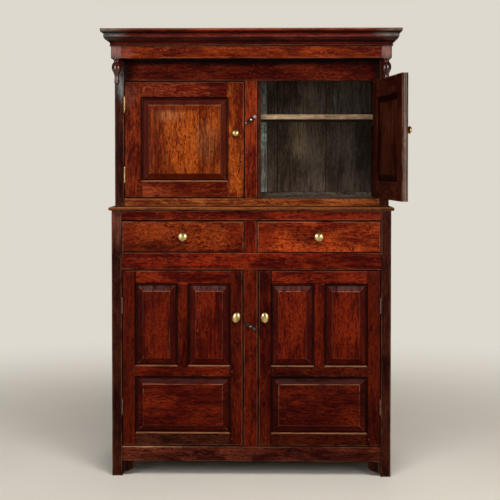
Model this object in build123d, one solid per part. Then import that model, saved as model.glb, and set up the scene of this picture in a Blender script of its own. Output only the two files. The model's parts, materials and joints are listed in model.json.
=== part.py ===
"""Court cupboard: a joined-oak press cupboard in two parts under a canopy.

Millimetres, +Z up, front towards -Y. The origin is on the floor under the middle of the case.
At rest the upper right door stands open against its pendant, and every other door and drawer is shut.
Frames are mortised and tenoned, panels sit loose in grooves, and drawers are dovetailed.
"""
from build123d import *
from collections import namedtuple
from math import acos, asin, atan2, cos, degrees, hypot, radians, sin
import os

# ---------------------------------------------------------------- the case as a whole
CASE_WIDTH = 1102.0
LOWER_DEPTH = 530.0
UPPER_SETBACK = 110.0          # the upper cupboard's front stands this far behind the lower one's
MUNTIN_OFFSET = -2.0           # the front muntins stand a little left of centre

# ---------------------------------------------------------------- heights, from the floor up
FOOT_HEIGHT = 58.6
BOTTOM_RAIL_HEIGHT = 60.7
LOWER_DOORWAY_HEIGHT = 700.1
MIDDLE_RAIL_HEIGHT = 69.0
DRAWER_OPENING_HEIGHT = 126.2
TOP_RAIL_HEIGHT = 38.4
LEDGE_THICKNESS = 14.0
UPPER_BOTTOM_RAIL_HEIGHT = 32.0
UPPER_DOORWAY_HEIGHT = 471.0
UPPER_TOP_RAIL_SHOW = 82.0     # what shows of the upper top rail below the frieze
FRIEZE_HEIGHT = 48.0
CORNICE_HEIGHT = 66.0

# ---------------------------------------------------------------- frame members
LOWER_STILE_WIDTH = 40.0
LOWER_STILE_DEPTH = 45.0
UPPER_STILE_WIDTH = 38.0
UPPER_STILE_DEPTH = 42.0
REAR_STILE_WIDTH = 40.0
REAR_STILE_DEPTH = 45.0
FRONT_RAIL_THICKNESS = 28.0
SIDE_RAIL_THICKNESS = 25.0
BACK_RAIL_THICKNESS = 22.0
LOWER_MUNTIN_WIDTH = 57.0
DRAWER_MUNTIN_WIDTH = 50.0
UPPER_MUNTIN_WIDTH = 50.0
SIDE_BOTTOM_RAIL_HEIGHT = 76.0
SIDE_TOP_RAIL_HEIGHT = 62.0
BACK_RAIL_HEIGHT = 48.0
BACK_MUNTIN_WIDTH = 70.0
BACK_MUNTIN_OFFSET = 25.0

# ---------------------------------------------------------------- joints, grooves and pegs
TENON_THICKNESS = 8.0
TENON_SHOULDER = 10.0
CASE_TENON = 26.0
SIDE_TENON = 20.0
STUB_TENON = 14.0
BACK_TENON = 18.0
DOOR_TENON = 42.0
MORTISE_PLAY = 0.1
GROOVE_DEPTH = 8.0
PANEL_PLAY = 0.6               # a panel's edge stops this far short of its groove's floor
TONGUE_THICKNESS = 6.0
TONGUE_PLAY = 0.1
SIDE_PANEL_THICKNESS = 9.0
PEG_RADIUS = 4.2
CASE_PEG_LENGTH = 24.0
DOOR_PEG_LENGTH = 20.0
PEG_PROUD = 0.8
PEG_SIDES = 8
PEG_PLAY = 0.05
PEG_INSET = 11.0               # from a joint's shoulder to the peg's middle

# ---------------------------------------------------------------- boards
BACK_BOARD_THICKNESS = 12.0
BACK_BOARD_COUNT = 5
BACK_REBATE = 15.0
FLOOR_BOARD_THICKNESS = 14.0
FLOOR_SINK = 6.0               # the floor boards lie this far below the bottom rail's top
FLOOR_BOARD_COUNT = 4
BOARD_GAP = 0.8
FITTING_GAP = 0.5              # between a board and what it is notched round
LEDGE_OVERHANG = 11.0
LEDGE_NOSE_RADIUS = 6.0
SHELF_THICKNESS = 20.0
SHELF_HEIGHT = 319.0           # from the upper cupboard's bottom rail to the shelf's underside
SHELF_SETBACK = 60.0
BEARER_SIZE = 20.0
SOFFIT_THICKNESS = 10.0
SOFFIT_RISE = 10.0             # the soffit lies this far above the frieze's lower edge
SOFFIT_HOUSING = 5.0
TOP_BOARD_THICKNESS = 12.0
TOP_BOARD_COUNT = 3

# ---------------------------------------------------------------- foot brackets
BRACKET_WIDTH = 43.0
BRACKET_HEIGHT = 45.0
BRACKET_TOE = 10.0
BRACKET_CHEEK = 30.0
BRACKET_THICKNESS = 18.0
BRACKET_SETBACK = 8.0
BRACKET_GAP = 4.0

# ---------------------------------------------------------------- canopy
POST_SIZE = 40.0
FRIEZE_THICKNESS = 24.0
FRIEZE_SETBACK = 1.5
CORNICE_OVERHANG = 38.0
CORNICE_SEAT = 12.0            # how much of the frieze's top the cornice stands on
PENDANT_LENGTH = 103.0
PENDANT_COLLAR_RADIUS = 18.0
PENDANT_NECK_RADIUS = 10.5
PENDANT_BULB_RADIUS = 19.6
PENDANT_WAIST_RADIUS = 8.4
PENDANT_TIP_RADIUS = 9.5

# ---------------------------------------------------------------- doors
DOOR_GAP = 2.5
DOOR_THICKNESS = 24.0
DOOR_STOP_WIDTH = 14.0         # the thin lath on each side of a muntin that a door shuts against
DOOR_STOP_GAP = 0.6
EDGE_BEAD = 10.0               # the width of the bead run along an upper door's free edge
EDGE_QUIRK = 3.0               # and of the groove that sets it off
UPPER_DOOR_STILE = 70.0
UPPER_DOOR_TOP_RAIL = 68.0
UPPER_DOOR_BOTTOM_RAIL = 70.0
LOWER_DOOR_STILE = 54.0
LOWER_DOOR_TOP_RAIL = 57.0
LOWER_DOOR_MIDDLE_RAIL = 51.0
LOWER_DOOR_BOTTOM_RAIL = 53.0
LOWER_DOOR_MUNTIN = 50.0
LOWER_PANEL_HEIGHT = 216.0     # the wide bottom panel's opening
MOULD_WIDTH = 7.0              # the moulding run round each panel opening
MOULD_QUIRK = 1.5
PANEL_MARGIN = 27.0            # from the opening's edge to the raised field
FIELD_SETBACK = 2.0
FIELD_STEP = 1.6
GROOVE_SETBACK = 11.0          # from the door's face to the tongue's face
PENDANT_STOP_GAP = 1.5         # between the wide-open upper door and its pendant's tip

# ---------------------------------------------------------------- hinges
PIN_PROUD = 3.6                # the pin stands this far in front of the door's face
PIN_RADIUS = 1.7
PIN_PLAY = 0.05
KNUCKLE_RADIUS = 3.5
KNUCKLE_PLAY = 0.2
LEAF_LENGTH = 60.0
LEAF_DEPTH = 18.0
LEAF_THICKNESS = 1.6
UPPER_HINGE_INSET = 92.0       # from the door's end to the hinge's middle
LOWER_HINGE_INSET_TOP = 139.0
LOWER_HINGE_INSET_BOTTOM = 155.0

# ---------------------------------------------------------------- knobs and turn buttons
UPPER_KNOB_DIAMETER = 28.0
UPPER_KNOB_LENGTH = 22.0
UPPER_KNOB_RISE = 27.0         # above the door's middle
DRAWER_KNOB_DIAMETER = 37.0
DRAWER_KNOB_LENGTH = 27.0
LOWER_KNOB_DIAMETER = 32.0
LOWER_KNOB_STRETCH = 1.34      # the lower knobs are upright ovals
LOWER_KNOB_LENGTH = 25.0
LOWER_KNOB_RISE = 164.0
LOWER_KNOB_INSET = 25.0
LOWER_KNOB_TILT = 15.0         # the left oval knob has turned on its spigot by this many degrees
KNOB_SPIGOT_RADIUS = 3.5
KNOB_SPIGOT_LENGTH = 16.0
SPIGOT_PLAY = 0.1
UPPER_BUTTON_LENGTH = 60.0
UPPER_BUTTON_TURN = 37.0       # degrees from level, right end up
UPPER_BUTTON_RISE = 316.0      # above the bottom of the doorway
LOWER_BUTTON_LENGTH = 64.0
LOWER_BUTTON_TURN = -30.0
LOWER_BUTTON_RISE = 477.0
BUTTON_MIDDLE_RADIUS = 8.0
BUTTON_END_RADIUS = 5.0
BUTTON_THICKNESS = 6.0
BUTTON_GAP = 0.4
SCREW_RADIUS = 2.4
SCREW_HEAD_RADIUS = 4.6
SCREW_HEAD_HEIGHT = 2.0
SCREW_LENGTH = 18.0
SCREW_PLAY = 0.1

# ---------------------------------------------------------------- drawers
DRAWER_FRONT_THICKNESS = 22.0
DRAWER_DEPTH = 430.0
DRAWER_SIDE_THICKNESS = 12.0
DRAWER_SIDE_HEIGHT = 108.0
DRAWER_SIDE_PLAY = 1.0
DRAWER_RUNNING_GAP = 0.3
DRAWER_TOP_GAP = 4.5           # over a drawer's front
DRAWER_BOTTOM_THICKNESS = 7.0
DRAWER_BOTTOM_RISE = 6.0
DRAWER_BOTTOM_HOUSING = 5.0
DOVETAIL_COUNT = 3
DOVETAIL_LENGTH = 14.0
DOVETAIL_FLARE = 3.0
RUNNER_WIDTH = 45.0
RUNNER_THICKNESS = 18.0
RUNNER_HOUSING = 5.0
GUIDE_HEIGHT = 18.0

# ---------------------------------------------------------------- places worked out from the sizes
HALF = CASE_WIDTH / 2
Y_FRONT = -LOWER_DEPTH / 2
Y_BACK = LOWER_DEPTH / 2
Y_UPPER = Y_FRONT + UPPER_SETBACK
Y_REAR_STILE = Y_BACK - REAR_STILE_DEPTH
Y_BACK_BOARDS = Y_BACK - BACK_BOARD_THICKNESS
Y_BACK_RAILS = Y_BACK_BOARDS - BACK_RAIL_THICKNESS
Z_DOORWAY = FOOT_HEIGHT + BOTTOM_RAIL_HEIGHT
Z_MIDDLE_RAIL = Z_DOORWAY + LOWER_DOORWAY_HEIGHT
Z_DRAWERS = Z_MIDDLE_RAIL + MIDDLE_RAIL_HEIGHT
Z_TOP_RAIL = Z_DRAWERS + DRAWER_OPENING_HEIGHT
Z_LEDGE = Z_TOP_RAIL + TOP_RAIL_HEIGHT
Z_UPPER = Z_LEDGE + LEDGE_THICKNESS
Z_UPPER_DOORWAY = Z_UPPER + UPPER_BOTTOM_RAIL_HEIGHT
Z_UPPER_TOP_RAIL = Z_UPPER_DOORWAY + UPPER_DOORWAY_HEIGHT
Z_FRIEZE = Z_UPPER_TOP_RAIL + UPPER_TOP_RAIL_SHOW
Z_CORNICE = Z_FRIEZE + FRIEZE_HEIGHT
Z_SOFFIT = Z_FRIEZE + SOFFIT_RISE
Z_FLOOR = Z_DOORWAY - FLOOR_SINK
Z_UPPER_FLOOR = Z_UPPER_DOORWAY - FLOOR_SINK
FLOOR_REBATE = (FRONT_RAIL_THICKNESS - TENON_THICKNESS) / 2 - 1

LOWER_JAMB = HALF - LOWER_STILE_WIDTH
UPPER_JAMB = HALF - UPPER_STILE_WIDTH
SIDE_INNER = HALF - SIDE_RAIL_THICKNESS
REAR_INNER = HALF - REAR_STILE_WIDTH
PENDANT_X = HALF - POST_SIZE / 2
PENDANT_Y = Y_FRONT + POST_SIZE / 2

Member = namedtuple("Member", "solid mortises")
Hinge = namedtuple("Hinge", "door_leaf case_leaf pin recess")


# ---------------------------------------------------------------- wood working
def board(x, y, z, grow=0.0):
    """A square-edged board between three pairs of faces, grown by so much on every face."""
    lows = [min(pair) - grow for pair in (x, y, z)]
    highs = [max(pair) + grow for pair in (x, y, z)]
    sizes = [high - low for low, high in zip(lows, highs)]
    middle = [(low + high) / 2 for low, high in zip(lows, highs)]
    return Pos(*middle) * Box(*sizes)


def cut(piece, cutters):
    """The piece with each cutter taken from it."""
    for cutter in cutters:
        piece = piece - cutter
    return piece


def tenoned(x, y, z, along, thin, length):
    """A rail with a tenon on each end, centred in its thickness, and the cutter for its two mortises."""
    spans = {"x": x, "y": y, "z": z}
    tenon = {}
    for axis, (low, high) in spans.items():
        if axis == along:
            tenon[axis] = (low - length, high + length)
        elif axis == thin:
            middle = (low + high) / 2
            tenon[axis] = (middle - TENON_THICKNESS / 2, middle + TENON_THICKNESS / 2)
        else:
            tenon[axis] = (low + TENON_SHOULDER, high - TENON_SHOULDER)
    solid = board(x, y, z) + board(tenon["x"], tenon["y"], tenon["z"])
    return Member(solid, board(tenon["x"], tenon["y"], tenon["z"], MORTISE_PLAY))


def peg(x, y, z, facing, length, grow=0.0):
    """An eight-sided riven peg whose head stands proud of the face at this point."""
    section = RegularPolygon(PEG_RADIUS + grow, PEG_SIDES)
    shank = extrude(section, amount=PEG_PROUD + length + grow)
    turned = {"front": Rot(-90, 0, 0), "left": Rot(0, 90, 0), "right": Rot(0, -90, 0)}[facing]
    out = {"front": (0, -PEG_PROUD, 0), "left": (-PEG_PROUD, 0, 0), "right": (PEG_PROUD, 0, 0)}[facing]
    return Pos(x + out[0], y + out[1], z + out[2]) * turned * shank


def bore_for_pegs(members, spots, facing, length):
    """The members with a hole for each peg that meets them, and the pegs at these spots."""
    holes = [peg(*spot, facing, length, PEG_PLAY) for spot in spots]
    bored = []
    for member in members:
        box = member.bounding_box()
        for spot, hole in zip(spots, holes):
            reach = hole.bounding_box()
            meets = all(
                getattr(box.min, axis) < getattr(reach.max, axis)
                and getattr(reach.min, axis) < getattr(box.max, axis)
                for axis in ("X", "Y", "Z")
            )
            if meets:
                member = member - hole
        bored.append(member)
    return bored, [peg(*spot, facing, length) for spot in spots]


def boards_across(count, x, y, z, along="x"):
    """Equal boards side by side along one axis, with a small gap between neighbours."""
    low, high = x if along == "x" else y
    width = (high - low - BOARD_GAP * (count - 1)) / count
    pieces = []
    for number in range(count):
        start = low + number * (width + BOARD_GAP)
        span = (start, start + width)
        pieces.append(board(span, y, z) if along == "x" else board(x, span, z))
    return pieces


def both_sides(make):
    """What make builds on the left, and the same on the right."""
    left = make()
    return left + [mirror(piece, Plane.YZ) for piece in left]


# ---------------------------------------------------------------- hinges, knobs and turn buttons
def hinge():
    """A butt hinge for a door on the pin's right, with its pin along Z through the origin."""
    third = LEAF_LENGTH / 3
    middle = (-third / 2, third / 2)
    whole = (-LEAF_LENGTH / 2, LEAF_LENGTH / 2)
    wood_edge = DOOR_GAP / 2
    plate_y = (0, PIN_PROUD + LEAF_DEPTH)
    door_x = (wood_edge, wood_edge + LEAF_THICKNESS)
    case_x = (-wood_edge - LEAF_THICKNESS, -wood_edge)
    bore = Cylinder(PIN_RADIUS + PIN_PLAY, 2 * LEAF_LENGTH)
    knuckle = Cylinder(KNUCKLE_RADIUS, third - KNUCKLE_PLAY)
    clear = KNUCKLE_RADIUS + KNUCKLE_PLAY
    behind = (PIN_PROUD, PIN_PROUD + LEAF_DEPTH)
    door_leaf = board(door_x, behind, whole) + board(door_x, plate_y, (middle[0] + KNUCKLE_PLAY / 2,
                                                                      middle[1] - KNUCKLE_PLAY / 2))
    door_leaf = door_leaf + knuckle - bore
    case_leaf = board(case_x, behind, whole)
    for side in (-1, 1):
        end = tuple(sorted((side * (third / 2 + KNUCKLE_PLAY / 2), side * LEAF_LENGTH / 2)))
        case_leaf = case_leaf + board(case_x, plate_y, end)
        case_leaf = case_leaf + Pos(0, 0, sum(end) / 2) * Cylinder(KNUCKLE_RADIUS, end[1] - end[0])
    case_leaf = case_leaf - bore
    pin = Cylinder(PIN_RADIUS, LEAF_LENGTH)
    for side in (-1, 1):
        pin = pin + Pos(0, 0, side * (LEAF_LENGTH / 2 + PIN_RADIUS / 2)) * Cylinder(clear - 1, PIN_RADIUS)
    recess = board(door_x, behind, whole) + board(case_x, behind, whole)
    return Hinge(door_leaf, case_leaf, pin, recess)


def dome(radius, base, top):
    """A near quarter ellipse from the rim at this base down to the axis at the top, for a turned end."""
    diagonal = cos(radians(45))
    return Spline((radius, base), (diagonal * radius, base + diagonal * (top - base)), (0, top),
                  tangents=((0, -1), (-1, 0)))


def turned_knob(diameter, length, stretch=1.0):
    """A turned knob standing out towards -Y from its seat at the origin, and its spigot's hole."""
    rose = 0.34 * diameter
    neck = 0.2 * diameter
    head = diameter / 2
    rim = -0.62 * length
    outline = [
        Line((0, 0), (rose, 0)),
        Line((rose, 0), (rose, -0.08 * length)),
        ThreePointArc((rose, -0.08 * length), (neck, -0.2 * length), (1.2 * neck, -0.36 * length)),
        ThreePointArc((1.2 * neck, -0.36 * length), (0.85 * head, -0.46 * length), (head, rim)),
        dome(head, rim, -length),
        Line((0, -length), (0, 0)),
    ]
    body = revolve(make_face(outline), Axis.Y)
    if stretch != 1.0:
        body = scale(body, by=(1, 1, stretch))
    spigot = Rot(-90, 0, 0) * Cylinder(
        KNOB_SPIGOT_RADIUS, KNOB_SPIGOT_LENGTH, align=(Align.CENTER, Align.CENTER, Align.MIN))
    hole = Rot(-90, 0, 0) * Cylinder(
        KNOB_SPIGOT_RADIUS + SPIGOT_PLAY, KNOB_SPIGOT_LENGTH + SPIGOT_PLAY,
        align=(Align.CENTER, Align.CENTER, Align.MIN))
    return body + spigot, hole


def turn_button(length, turn):
    """A flat button tapering to round ends, and the screw that it turns on, facing -Y at the origin."""
    reach = length / 2 - BUTTON_END_RADIUS
    taper = asin((BUTTON_MIDDLE_RADIUS - BUTTON_END_RADIUS) / reach)
    shape = Circle(BUTTON_MIDDLE_RADIUS)
    for side in (-1, 1):
        shape = shape + Pos(side * reach, 0) * Circle(BUTTON_END_RADIUS)
        flank = [
            (side * BUTTON_MIDDLE_RADIUS * sin(taper), BUTTON_MIDDLE_RADIUS * cos(taper)),
            (side * (reach + BUTTON_END_RADIUS * sin(taper)), BUTTON_END_RADIUS * cos(taper)),
        ]
        corners = flank + [(x, -y) for x, y in reversed(flank)]
        shape = shape + make_face(Polyline(*corners, close=True))
    shape = shape - Circle(SCREW_RADIUS + SCREW_PLAY)
    flat = Rot(90, 0, 0) * extrude(shape, amount=BUTTON_THICKNESS)
    button = Pos(0, -BUTTON_GAP, 0) * Rot(0, -turn, 0) * flat
    top = -BUTTON_GAP - BUTTON_THICKNESS - SCREW_PLAY
    shank = Rot(-90, 0, 0) * Pos(0, 0, top) * Cylinder(
        SCREW_RADIUS, SCREW_LENGTH - top, align=(Align.CENTER, Align.CENTER, Align.MIN))
    head = [
        Line((0, top), (SCREW_HEAD_RADIUS, top)),
        dome(SCREW_HEAD_RADIUS, top, top - SCREW_HEAD_HEIGHT),
        Line((0, top - SCREW_HEAD_HEIGHT), (0, top)),
    ]
    screw = shank + revolve(make_face(head), Axis.Y)
    hole = Rot(-90, 0, 0) * Cylinder(
        SCREW_RADIUS + SPIGOT_PLAY, SCREW_LENGTH + SPIGOT_PLAY, align=(Align.CENTER, Align.CENTER, Align.MIN))
    return button, screw, hole


# ---------------------------------------------------------------- framed doors
def mould_cutter(x, z):
    """What is run off a frame's inner edge to leave a quirked quarter-round, mitred at the corners."""
    middle = MOULD_WIDTH - (MOULD_WIDTH - MOULD_QUIRK) * cos(radians(45))

    def trough(low, high):
        return make_face([
            Line((low - MOULD_WIDTH, -1), (high + MOULD_WIDTH, -1)),
            Line((high + MOULD_WIDTH, -1), (high + MOULD_WIDTH, MOULD_QUIRK)),
            ThreePointArc((high + MOULD_WIDTH, MOULD_QUIRK), (high + middle, middle),
                          (high + MOULD_QUIRK, MOULD_WIDTH)),
            Line((high + MOULD_QUIRK, MOULD_WIDTH), (low - MOULD_QUIRK, MOULD_WIDTH)),
            ThreePointArc((low - MOULD_QUIRK, MOULD_WIDTH), (low - middle, middle),
                          (low - MOULD_WIDTH, MOULD_QUIRK)),
            Line((low - MOULD_WIDTH, MOULD_QUIRK), (low - MOULD_WIDTH, -1)),
        ])

    corner = (x[0] - MOULD_WIDTH, PIN_PROUD, z[0] - MOULD_WIDTH)
    upright = Plane(origin=(0, corner[1], corner[2]), x_dir=(1, 0, 0), z_dir=(0, 0, 1)) * trough(*x)
    level = Plane(origin=(corner[0], corner[1], 0), x_dir=(0, 0, 1), z_dir=(-1, 0, 0)) * trough(*z)
    return (extrude(upright, amount=z[1] - z[0] + 2 * MOULD_WIDTH)
            & extrude(level, amount=-(x[1] - x[0] + 2 * MOULD_WIDTH)))


def fielded_panel(x, z):
    """A panel whose tongue sits in the frame's grooves, bevelled up to a raised flat field."""
    back = PIN_PROUD + GROOVE_SETBACK + TONGUE_THICKNESS
    tongue_face = PIN_PROUD + GROOVE_SETBACK
    field_face = PIN_PROUD + FIELD_SETBACK
    edge = GROOVE_DEPTH - PANEL_PLAY
    tongue = board((x[0] - edge, x[1] + edge), (tongue_face, back), (z[0] - edge, z[1] + edge))
    wide, tall = x[1] - x[0], z[1] - z[0]
    middle = ((x[0] + x[1]) / 2, (z[0] + z[1]) / 2)

    def outline(inset, y):
        plane = Plane(origin=(middle[0], y, middle[1]), x_dir=(1, 0, 0), z_dir=(0, -1, 0))
        return plane * Rectangle(wide - 2 * inset, tall - 2 * inset)

    bevel = loft([outline(1.0, tongue_face), outline(PANEL_MARGIN, field_face + FIELD_STEP)], ruled=True)
    field = board((x[0] + PANEL_MARGIN, x[1] - PANEL_MARGIN), (field_face, tongue_face),
                  (z[0] + PANEL_MARGIN, z[1] - PANEL_MARGIN))
    return tongue + bevel + field


def framed_door(width, stile, rail_levels, muntin, hinge_levels, knob_x, knob_z, knob, bead=False):
    """A door hung on a pin along Z at the origin's left, in the pin's own frame, by sub-part."""
    height = rail_levels[-1][1]
    x = (DOOR_GAP / 2, DOOR_GAP / 2 + width)
    y = (PIN_PROUD, PIN_PROUD + DOOR_THICKNESS)
    inner = (x[0] + stile, x[1] - stile)
    stiles = [board((x[0], inner[0]), y, (0, height)), board((inner[1], x[1]), y, (0, height))]
    rails = [tenoned(inner, y, level, "x", "y", DOOR_TENON) for level in rail_levels]
    bays = [(below[1], above[0]) for below, above in zip(rail_levels, rail_levels[1:])]
    openings = [(inner, bay) for bay in bays]
    uprights = []
    if muntin:
        middle = sum(inner) / 2
        halves = (middle - muntin / 2, middle + muntin / 2)
        uprights = [tenoned(halves, y, bays[-1], "z", "y", STUB_TENON)]
        openings[-1:] = [((inner[0], halves[0]), bays[-1]), ((halves[1], inner[1]), bays[-1])]

    stiles = [cut(piece, [rail.mortises for rail in rails]) for piece in stiles]
    rail_solids = [cut(rail.solid, [upright.mortises for upright in uprights]) for rail in rails]
    upright_solids = [upright.solid for upright in uprights]
    run_off = []
    for wide, tall in openings:
        run_off.append(mould_cutter(wide, tall))
        groove_y = (PIN_PROUD + GROOVE_SETBACK - TONGUE_PLAY,
                    PIN_PROUD + GROOVE_SETBACK + TONGUE_THICKNESS + TONGUE_PLAY)
        run_off.append(board((wide[0] - GROOVE_DEPTH, wide[1] + GROOVE_DEPTH), groove_y,
                             (tall[0] - GROOVE_DEPTH, tall[1] + GROOVE_DEPTH)))
    stiles = [cut(piece, run_off) for piece in stiles]
    rail_solids = [cut(piece, run_off) for piece in rail_solids]
    upright_solids = [cut(piece, run_off) for piece in upright_solids]

    spots = [(side, PIN_PROUD, sum(level) / 2)
             for level in rail_levels
             for side in (inner[0] - PEG_INSET, inner[1] + PEG_INSET)]
    bored, pegs = bore_for_pegs(stiles + rail_solids, spots, "front", DOOR_PEG_LENGTH)
    stiles, rail_solids = bored[:2], bored[2:]

    knob_solid, knob_hole = knob
    seat = Pos(x[1] - knob_x, PIN_PROUD, knob_z)
    stiles[1] = stiles[1] - seat * knob_hole
    if bead:
        quirk_y = PIN_PROUD + EDGE_BEAD
        stiles[1] = stiles[1] - board((x[1] - EDGE_QUIRK, x[1] + 1), (quirk_y, quirk_y + EDGE_QUIRK), (-1, height + 1))
    leaf = hinge()
    leaves = [Pos(0, 0, level) * leaf.door_leaf for level in hinge_levels]
    stiles[0] = cut(stiles[0], [Pos(0, 0, level) * leaf.recess for level in hinge_levels])
    return {
        "stiles": stiles + pegs,
        "rails": rail_solids,
        "muntin": upright_solids,
        "panels": [fielded_panel(wide, tall) for wide, tall in openings],
        "knob": [seat * knob_solid],
        "hinges": leaves,
    }


def hung(parts, pin_x, pin_y, z, hand, swing=0.0):
    """A door's sub-parts set on its pin, hinged on the left (hand 1) or right (-1), swung open by degrees."""
    place = Pos(pin_x, pin_y, z) * Rot(0, 0, -hand * swing)
    sided = {name: pieces if hand > 0 else [mirror(piece, Plane.YZ) for piece in pieces]
             for name, pieces in parts.items()}
    return {name: [place * piece for piece in pieces] for name, pieces in sided.items()}


def upper_door(width, knob):
    """One of the two upper doors, a single panel in a frame."""
    height = UPPER_DOORWAY_HEIGHT - 2 * DOOR_GAP
    levels = [(0, UPPER_DOOR_BOTTOM_RAIL), (height - UPPER_DOOR_TOP_RAIL, height)]
    hinges = [UPPER_HINGE_INSET, height - UPPER_HINGE_INSET]
    return framed_door(width, UPPER_DOOR_STILE, levels, 0, hinges,
                       UPPER_DOOR_STILE / 2, height / 2 + UPPER_KNOB_RISE, knob, bead=True)


def lower_door(width, knob):
    """One of the two lower doors, two tall panels over a wide one."""
    height = LOWER_DOORWAY_HEIGHT - 2 * DOOR_GAP
    middle = LOWER_DOOR_BOTTOM_RAIL + LOWER_PANEL_HEIGHT
    levels = [(0, LOWER_DOOR_BOTTOM_RAIL), (middle, middle + LOWER_DOOR_MIDDLE_RAIL),
              (height - LOWER_DOOR_TOP_RAIL, height)]
    hinges = [LOWER_HINGE_INSET_BOTTOM, height - LOWER_HINGE_INSET_TOP]
    return framed_door(width, LOWER_DOOR_STILE, levels, LOWER_DOOR_MUNTIN, hinges,
                       LOWER_KNOB_INSET, height / 2 + LOWER_KNOB_RISE, knob)


# ---------------------------------------------------------------- drawers
def drawer(x, knob):
    """A drawer between these two x faces: its front, its box and its knob."""
    y_inside = Y_FRONT + DRAWER_FRONT_THICKNESS
    y_end = Y_FRONT + DRAWER_DEPTH
    low = Z_DRAWERS + DRAWER_RUNNING_GAP
    high = low + DRAWER_SIDE_HEIGHT
    front = board(x, (Y_FRONT, y_inside), (Z_DRAWERS + DOOR_GAP, Z_TOP_RAIL - DRAWER_TOP_GAP))
    outer = (x[0] + DRAWER_SIDE_PLAY, x[1] - DRAWER_SIDE_PLAY)
    inner = (outer[0] + DRAWER_SIDE_THICKNESS, outer[1] - DRAWER_SIDE_THICKNESS)

    pitch = (DRAWER_SIDE_HEIGHT - DRAWER_BOTTOM_RISE) / DOVETAIL_COUNT
    sides = []
    for ends in ((outer[0], inner[0]), (inner[1], outer[1])):
        side = board(ends, (y_inside, y_end), (low, high))
        for number in range(DOVETAIL_COUNT):
            middle = low + DRAWER_BOTTOM_RISE + (number + 0.5) * pitch
            root = pitch / 2 - 2 * DOVETAIL_FLARE
            tip = root + DOVETAIL_FLARE
            tail = Plane(origin=(ends[0], y_inside, middle), x_dir=(0, 1, 0), z_dir=(1, 0, 0)) * make_face(
                Polyline((0, -root), (-DOVETAIL_LENGTH, -tip), (-DOVETAIL_LENGTH, tip), (0, root), close=True))
            side = side + extrude(tail, amount=ends[1] - ends[0])
        sides.append(side)
    front = cut(front, sides)

    housing = DRAWER_BOTTOM_HOUSING
    bottom_y = (y_inside - housing, y_end)
    bottom_z = (low + DRAWER_BOTTOM_RISE, low + DRAWER_BOTTOM_RISE + DRAWER_BOTTOM_THICKNESS)
    bottom = board((inner[0] - housing, inner[1] + housing), bottom_y, bottom_z)
    back_y = (y_end - 2 * DRAWER_SIDE_THICKNESS, y_end - DRAWER_SIDE_THICKNESS)
    back = board((inner[0] - housing, inner[1] + housing), back_y, (bottom_z[1], high))
    sides = [cut(side, [bottom, back]) for side in sides]
    front = front - bottom

    knob_solid, knob_hole = knob
    seat = Pos((x[0] + x[1]) / 2, Y_FRONT, (Z_DRAWERS + Z_TOP_RAIL) / 2)
    return {"front": [front - seat * knob_hole], "box": sides + [back, bottom], "knob": [seat * knob_solid]}


def door_stops(width, y_face, floor, doorway_top):
    """The laths that the doors shut against, glued to both sides of a muntin of this width, flush with its back."""
    y = (y_face + DOOR_THICKNESS + DOOR_STOP_GAP, y_face + FRONT_RAIL_THICKNESS)
    laths = []
    for side in (-1, 1):
        edge = MUNTIN_OFFSET + side * width / 2
        laths.append(board((edge, edge + side * DOOR_STOP_WIDTH), y, (floor, doorway_top)))
    return laths


def drawer_runners():
    """The runners that carry the drawers, let into the rails at both ends, and the guides on them."""
    y = (Y_FRONT + FRONT_RAIL_THICKNESS - RUNNER_HOUSING, Y_BACK_RAILS + RUNNER_HOUSING)
    z = (Z_DRAWERS - RUNNER_THICKNESS, Z_DRAWERS)
    guide_z = (Z_DRAWERS, Z_DRAWERS + GUIDE_HEIGHT)
    outer = board((-SIDE_INNER, -SIDE_INNER + RUNNER_WIDTH), y, z)
    outer = cut(outer, lower_stile_clearance())
    outer_guide = board((-SIDE_INNER, -LOWER_JAMB), (Y_FRONT + LOWER_STILE_DEPTH, Y_REAR_STILE), guide_z)
    muntin = (MUNTIN_OFFSET - DRAWER_MUNTIN_WIDTH / 2, MUNTIN_OFFSET + DRAWER_MUNTIN_WIDTH / 2)
    centre = board((muntin[0] - RUNNER_WIDTH, muntin[1] + RUNNER_WIDTH), y, z)
    centre_guide = board(muntin, (Y_FRONT + FRONT_RAIL_THICKNESS, Y_BACK_RAILS), guide_z)
    return both_sides(lambda: [outer, outer_guide]) + [centre, centre_guide]


def lower_stile_clearance():
    """The lower left stiles, a little enlarged, for what is notched round them."""
    return [
        board((-HALF, -LOWER_JAMB), (Y_FRONT, Y_FRONT + LOWER_STILE_DEPTH), (0, Z_LEDGE), FITTING_GAP),
        board((-HALF, -REAR_INNER), (Y_REAR_STILE, Y_BACK), (0, Z_LEDGE), FITTING_GAP),
    ]


# ---------------------------------------------------------------- case sides and back
def side_frame(levels, y):
    """The left side's rails, its plain panels, and the cutters that the stiles at both ends need."""
    x = (-HALF, -SIDE_INNER)
    middle = (x[0] + x[1]) / 2
    rails = [tenoned(x, y, level, "y", "x", SIDE_TENON) for level in levels]
    panel_x = (middle - SIDE_PANEL_THICKNESS / 2, middle + SIDE_PANEL_THICKNESS / 2)
    groove_x = (panel_x[0] - TONGUE_PLAY, panel_x[1] + TONGUE_PLAY)
    edge = GROOVE_DEPTH - PANEL_PLAY
    panels, grooves = [], []
    for below, above in zip(levels, levels[1:]):
        panels.append(board(panel_x, (y[0] - edge, y[1] + edge), (below[1] - edge, above[0] + edge)))
        grooves.append(board(groove_x, (y[0] - GROOVE_DEPTH, y[1] + GROOVE_DEPTH),
                             (below[1] - GROOVE_DEPTH, above[0] + GROOVE_DEPTH)))
    solids = [cut(rail.solid, grooves) for rail in rails]
    return solids, panels, [rail.mortises for rail in rails] + grooves


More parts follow.
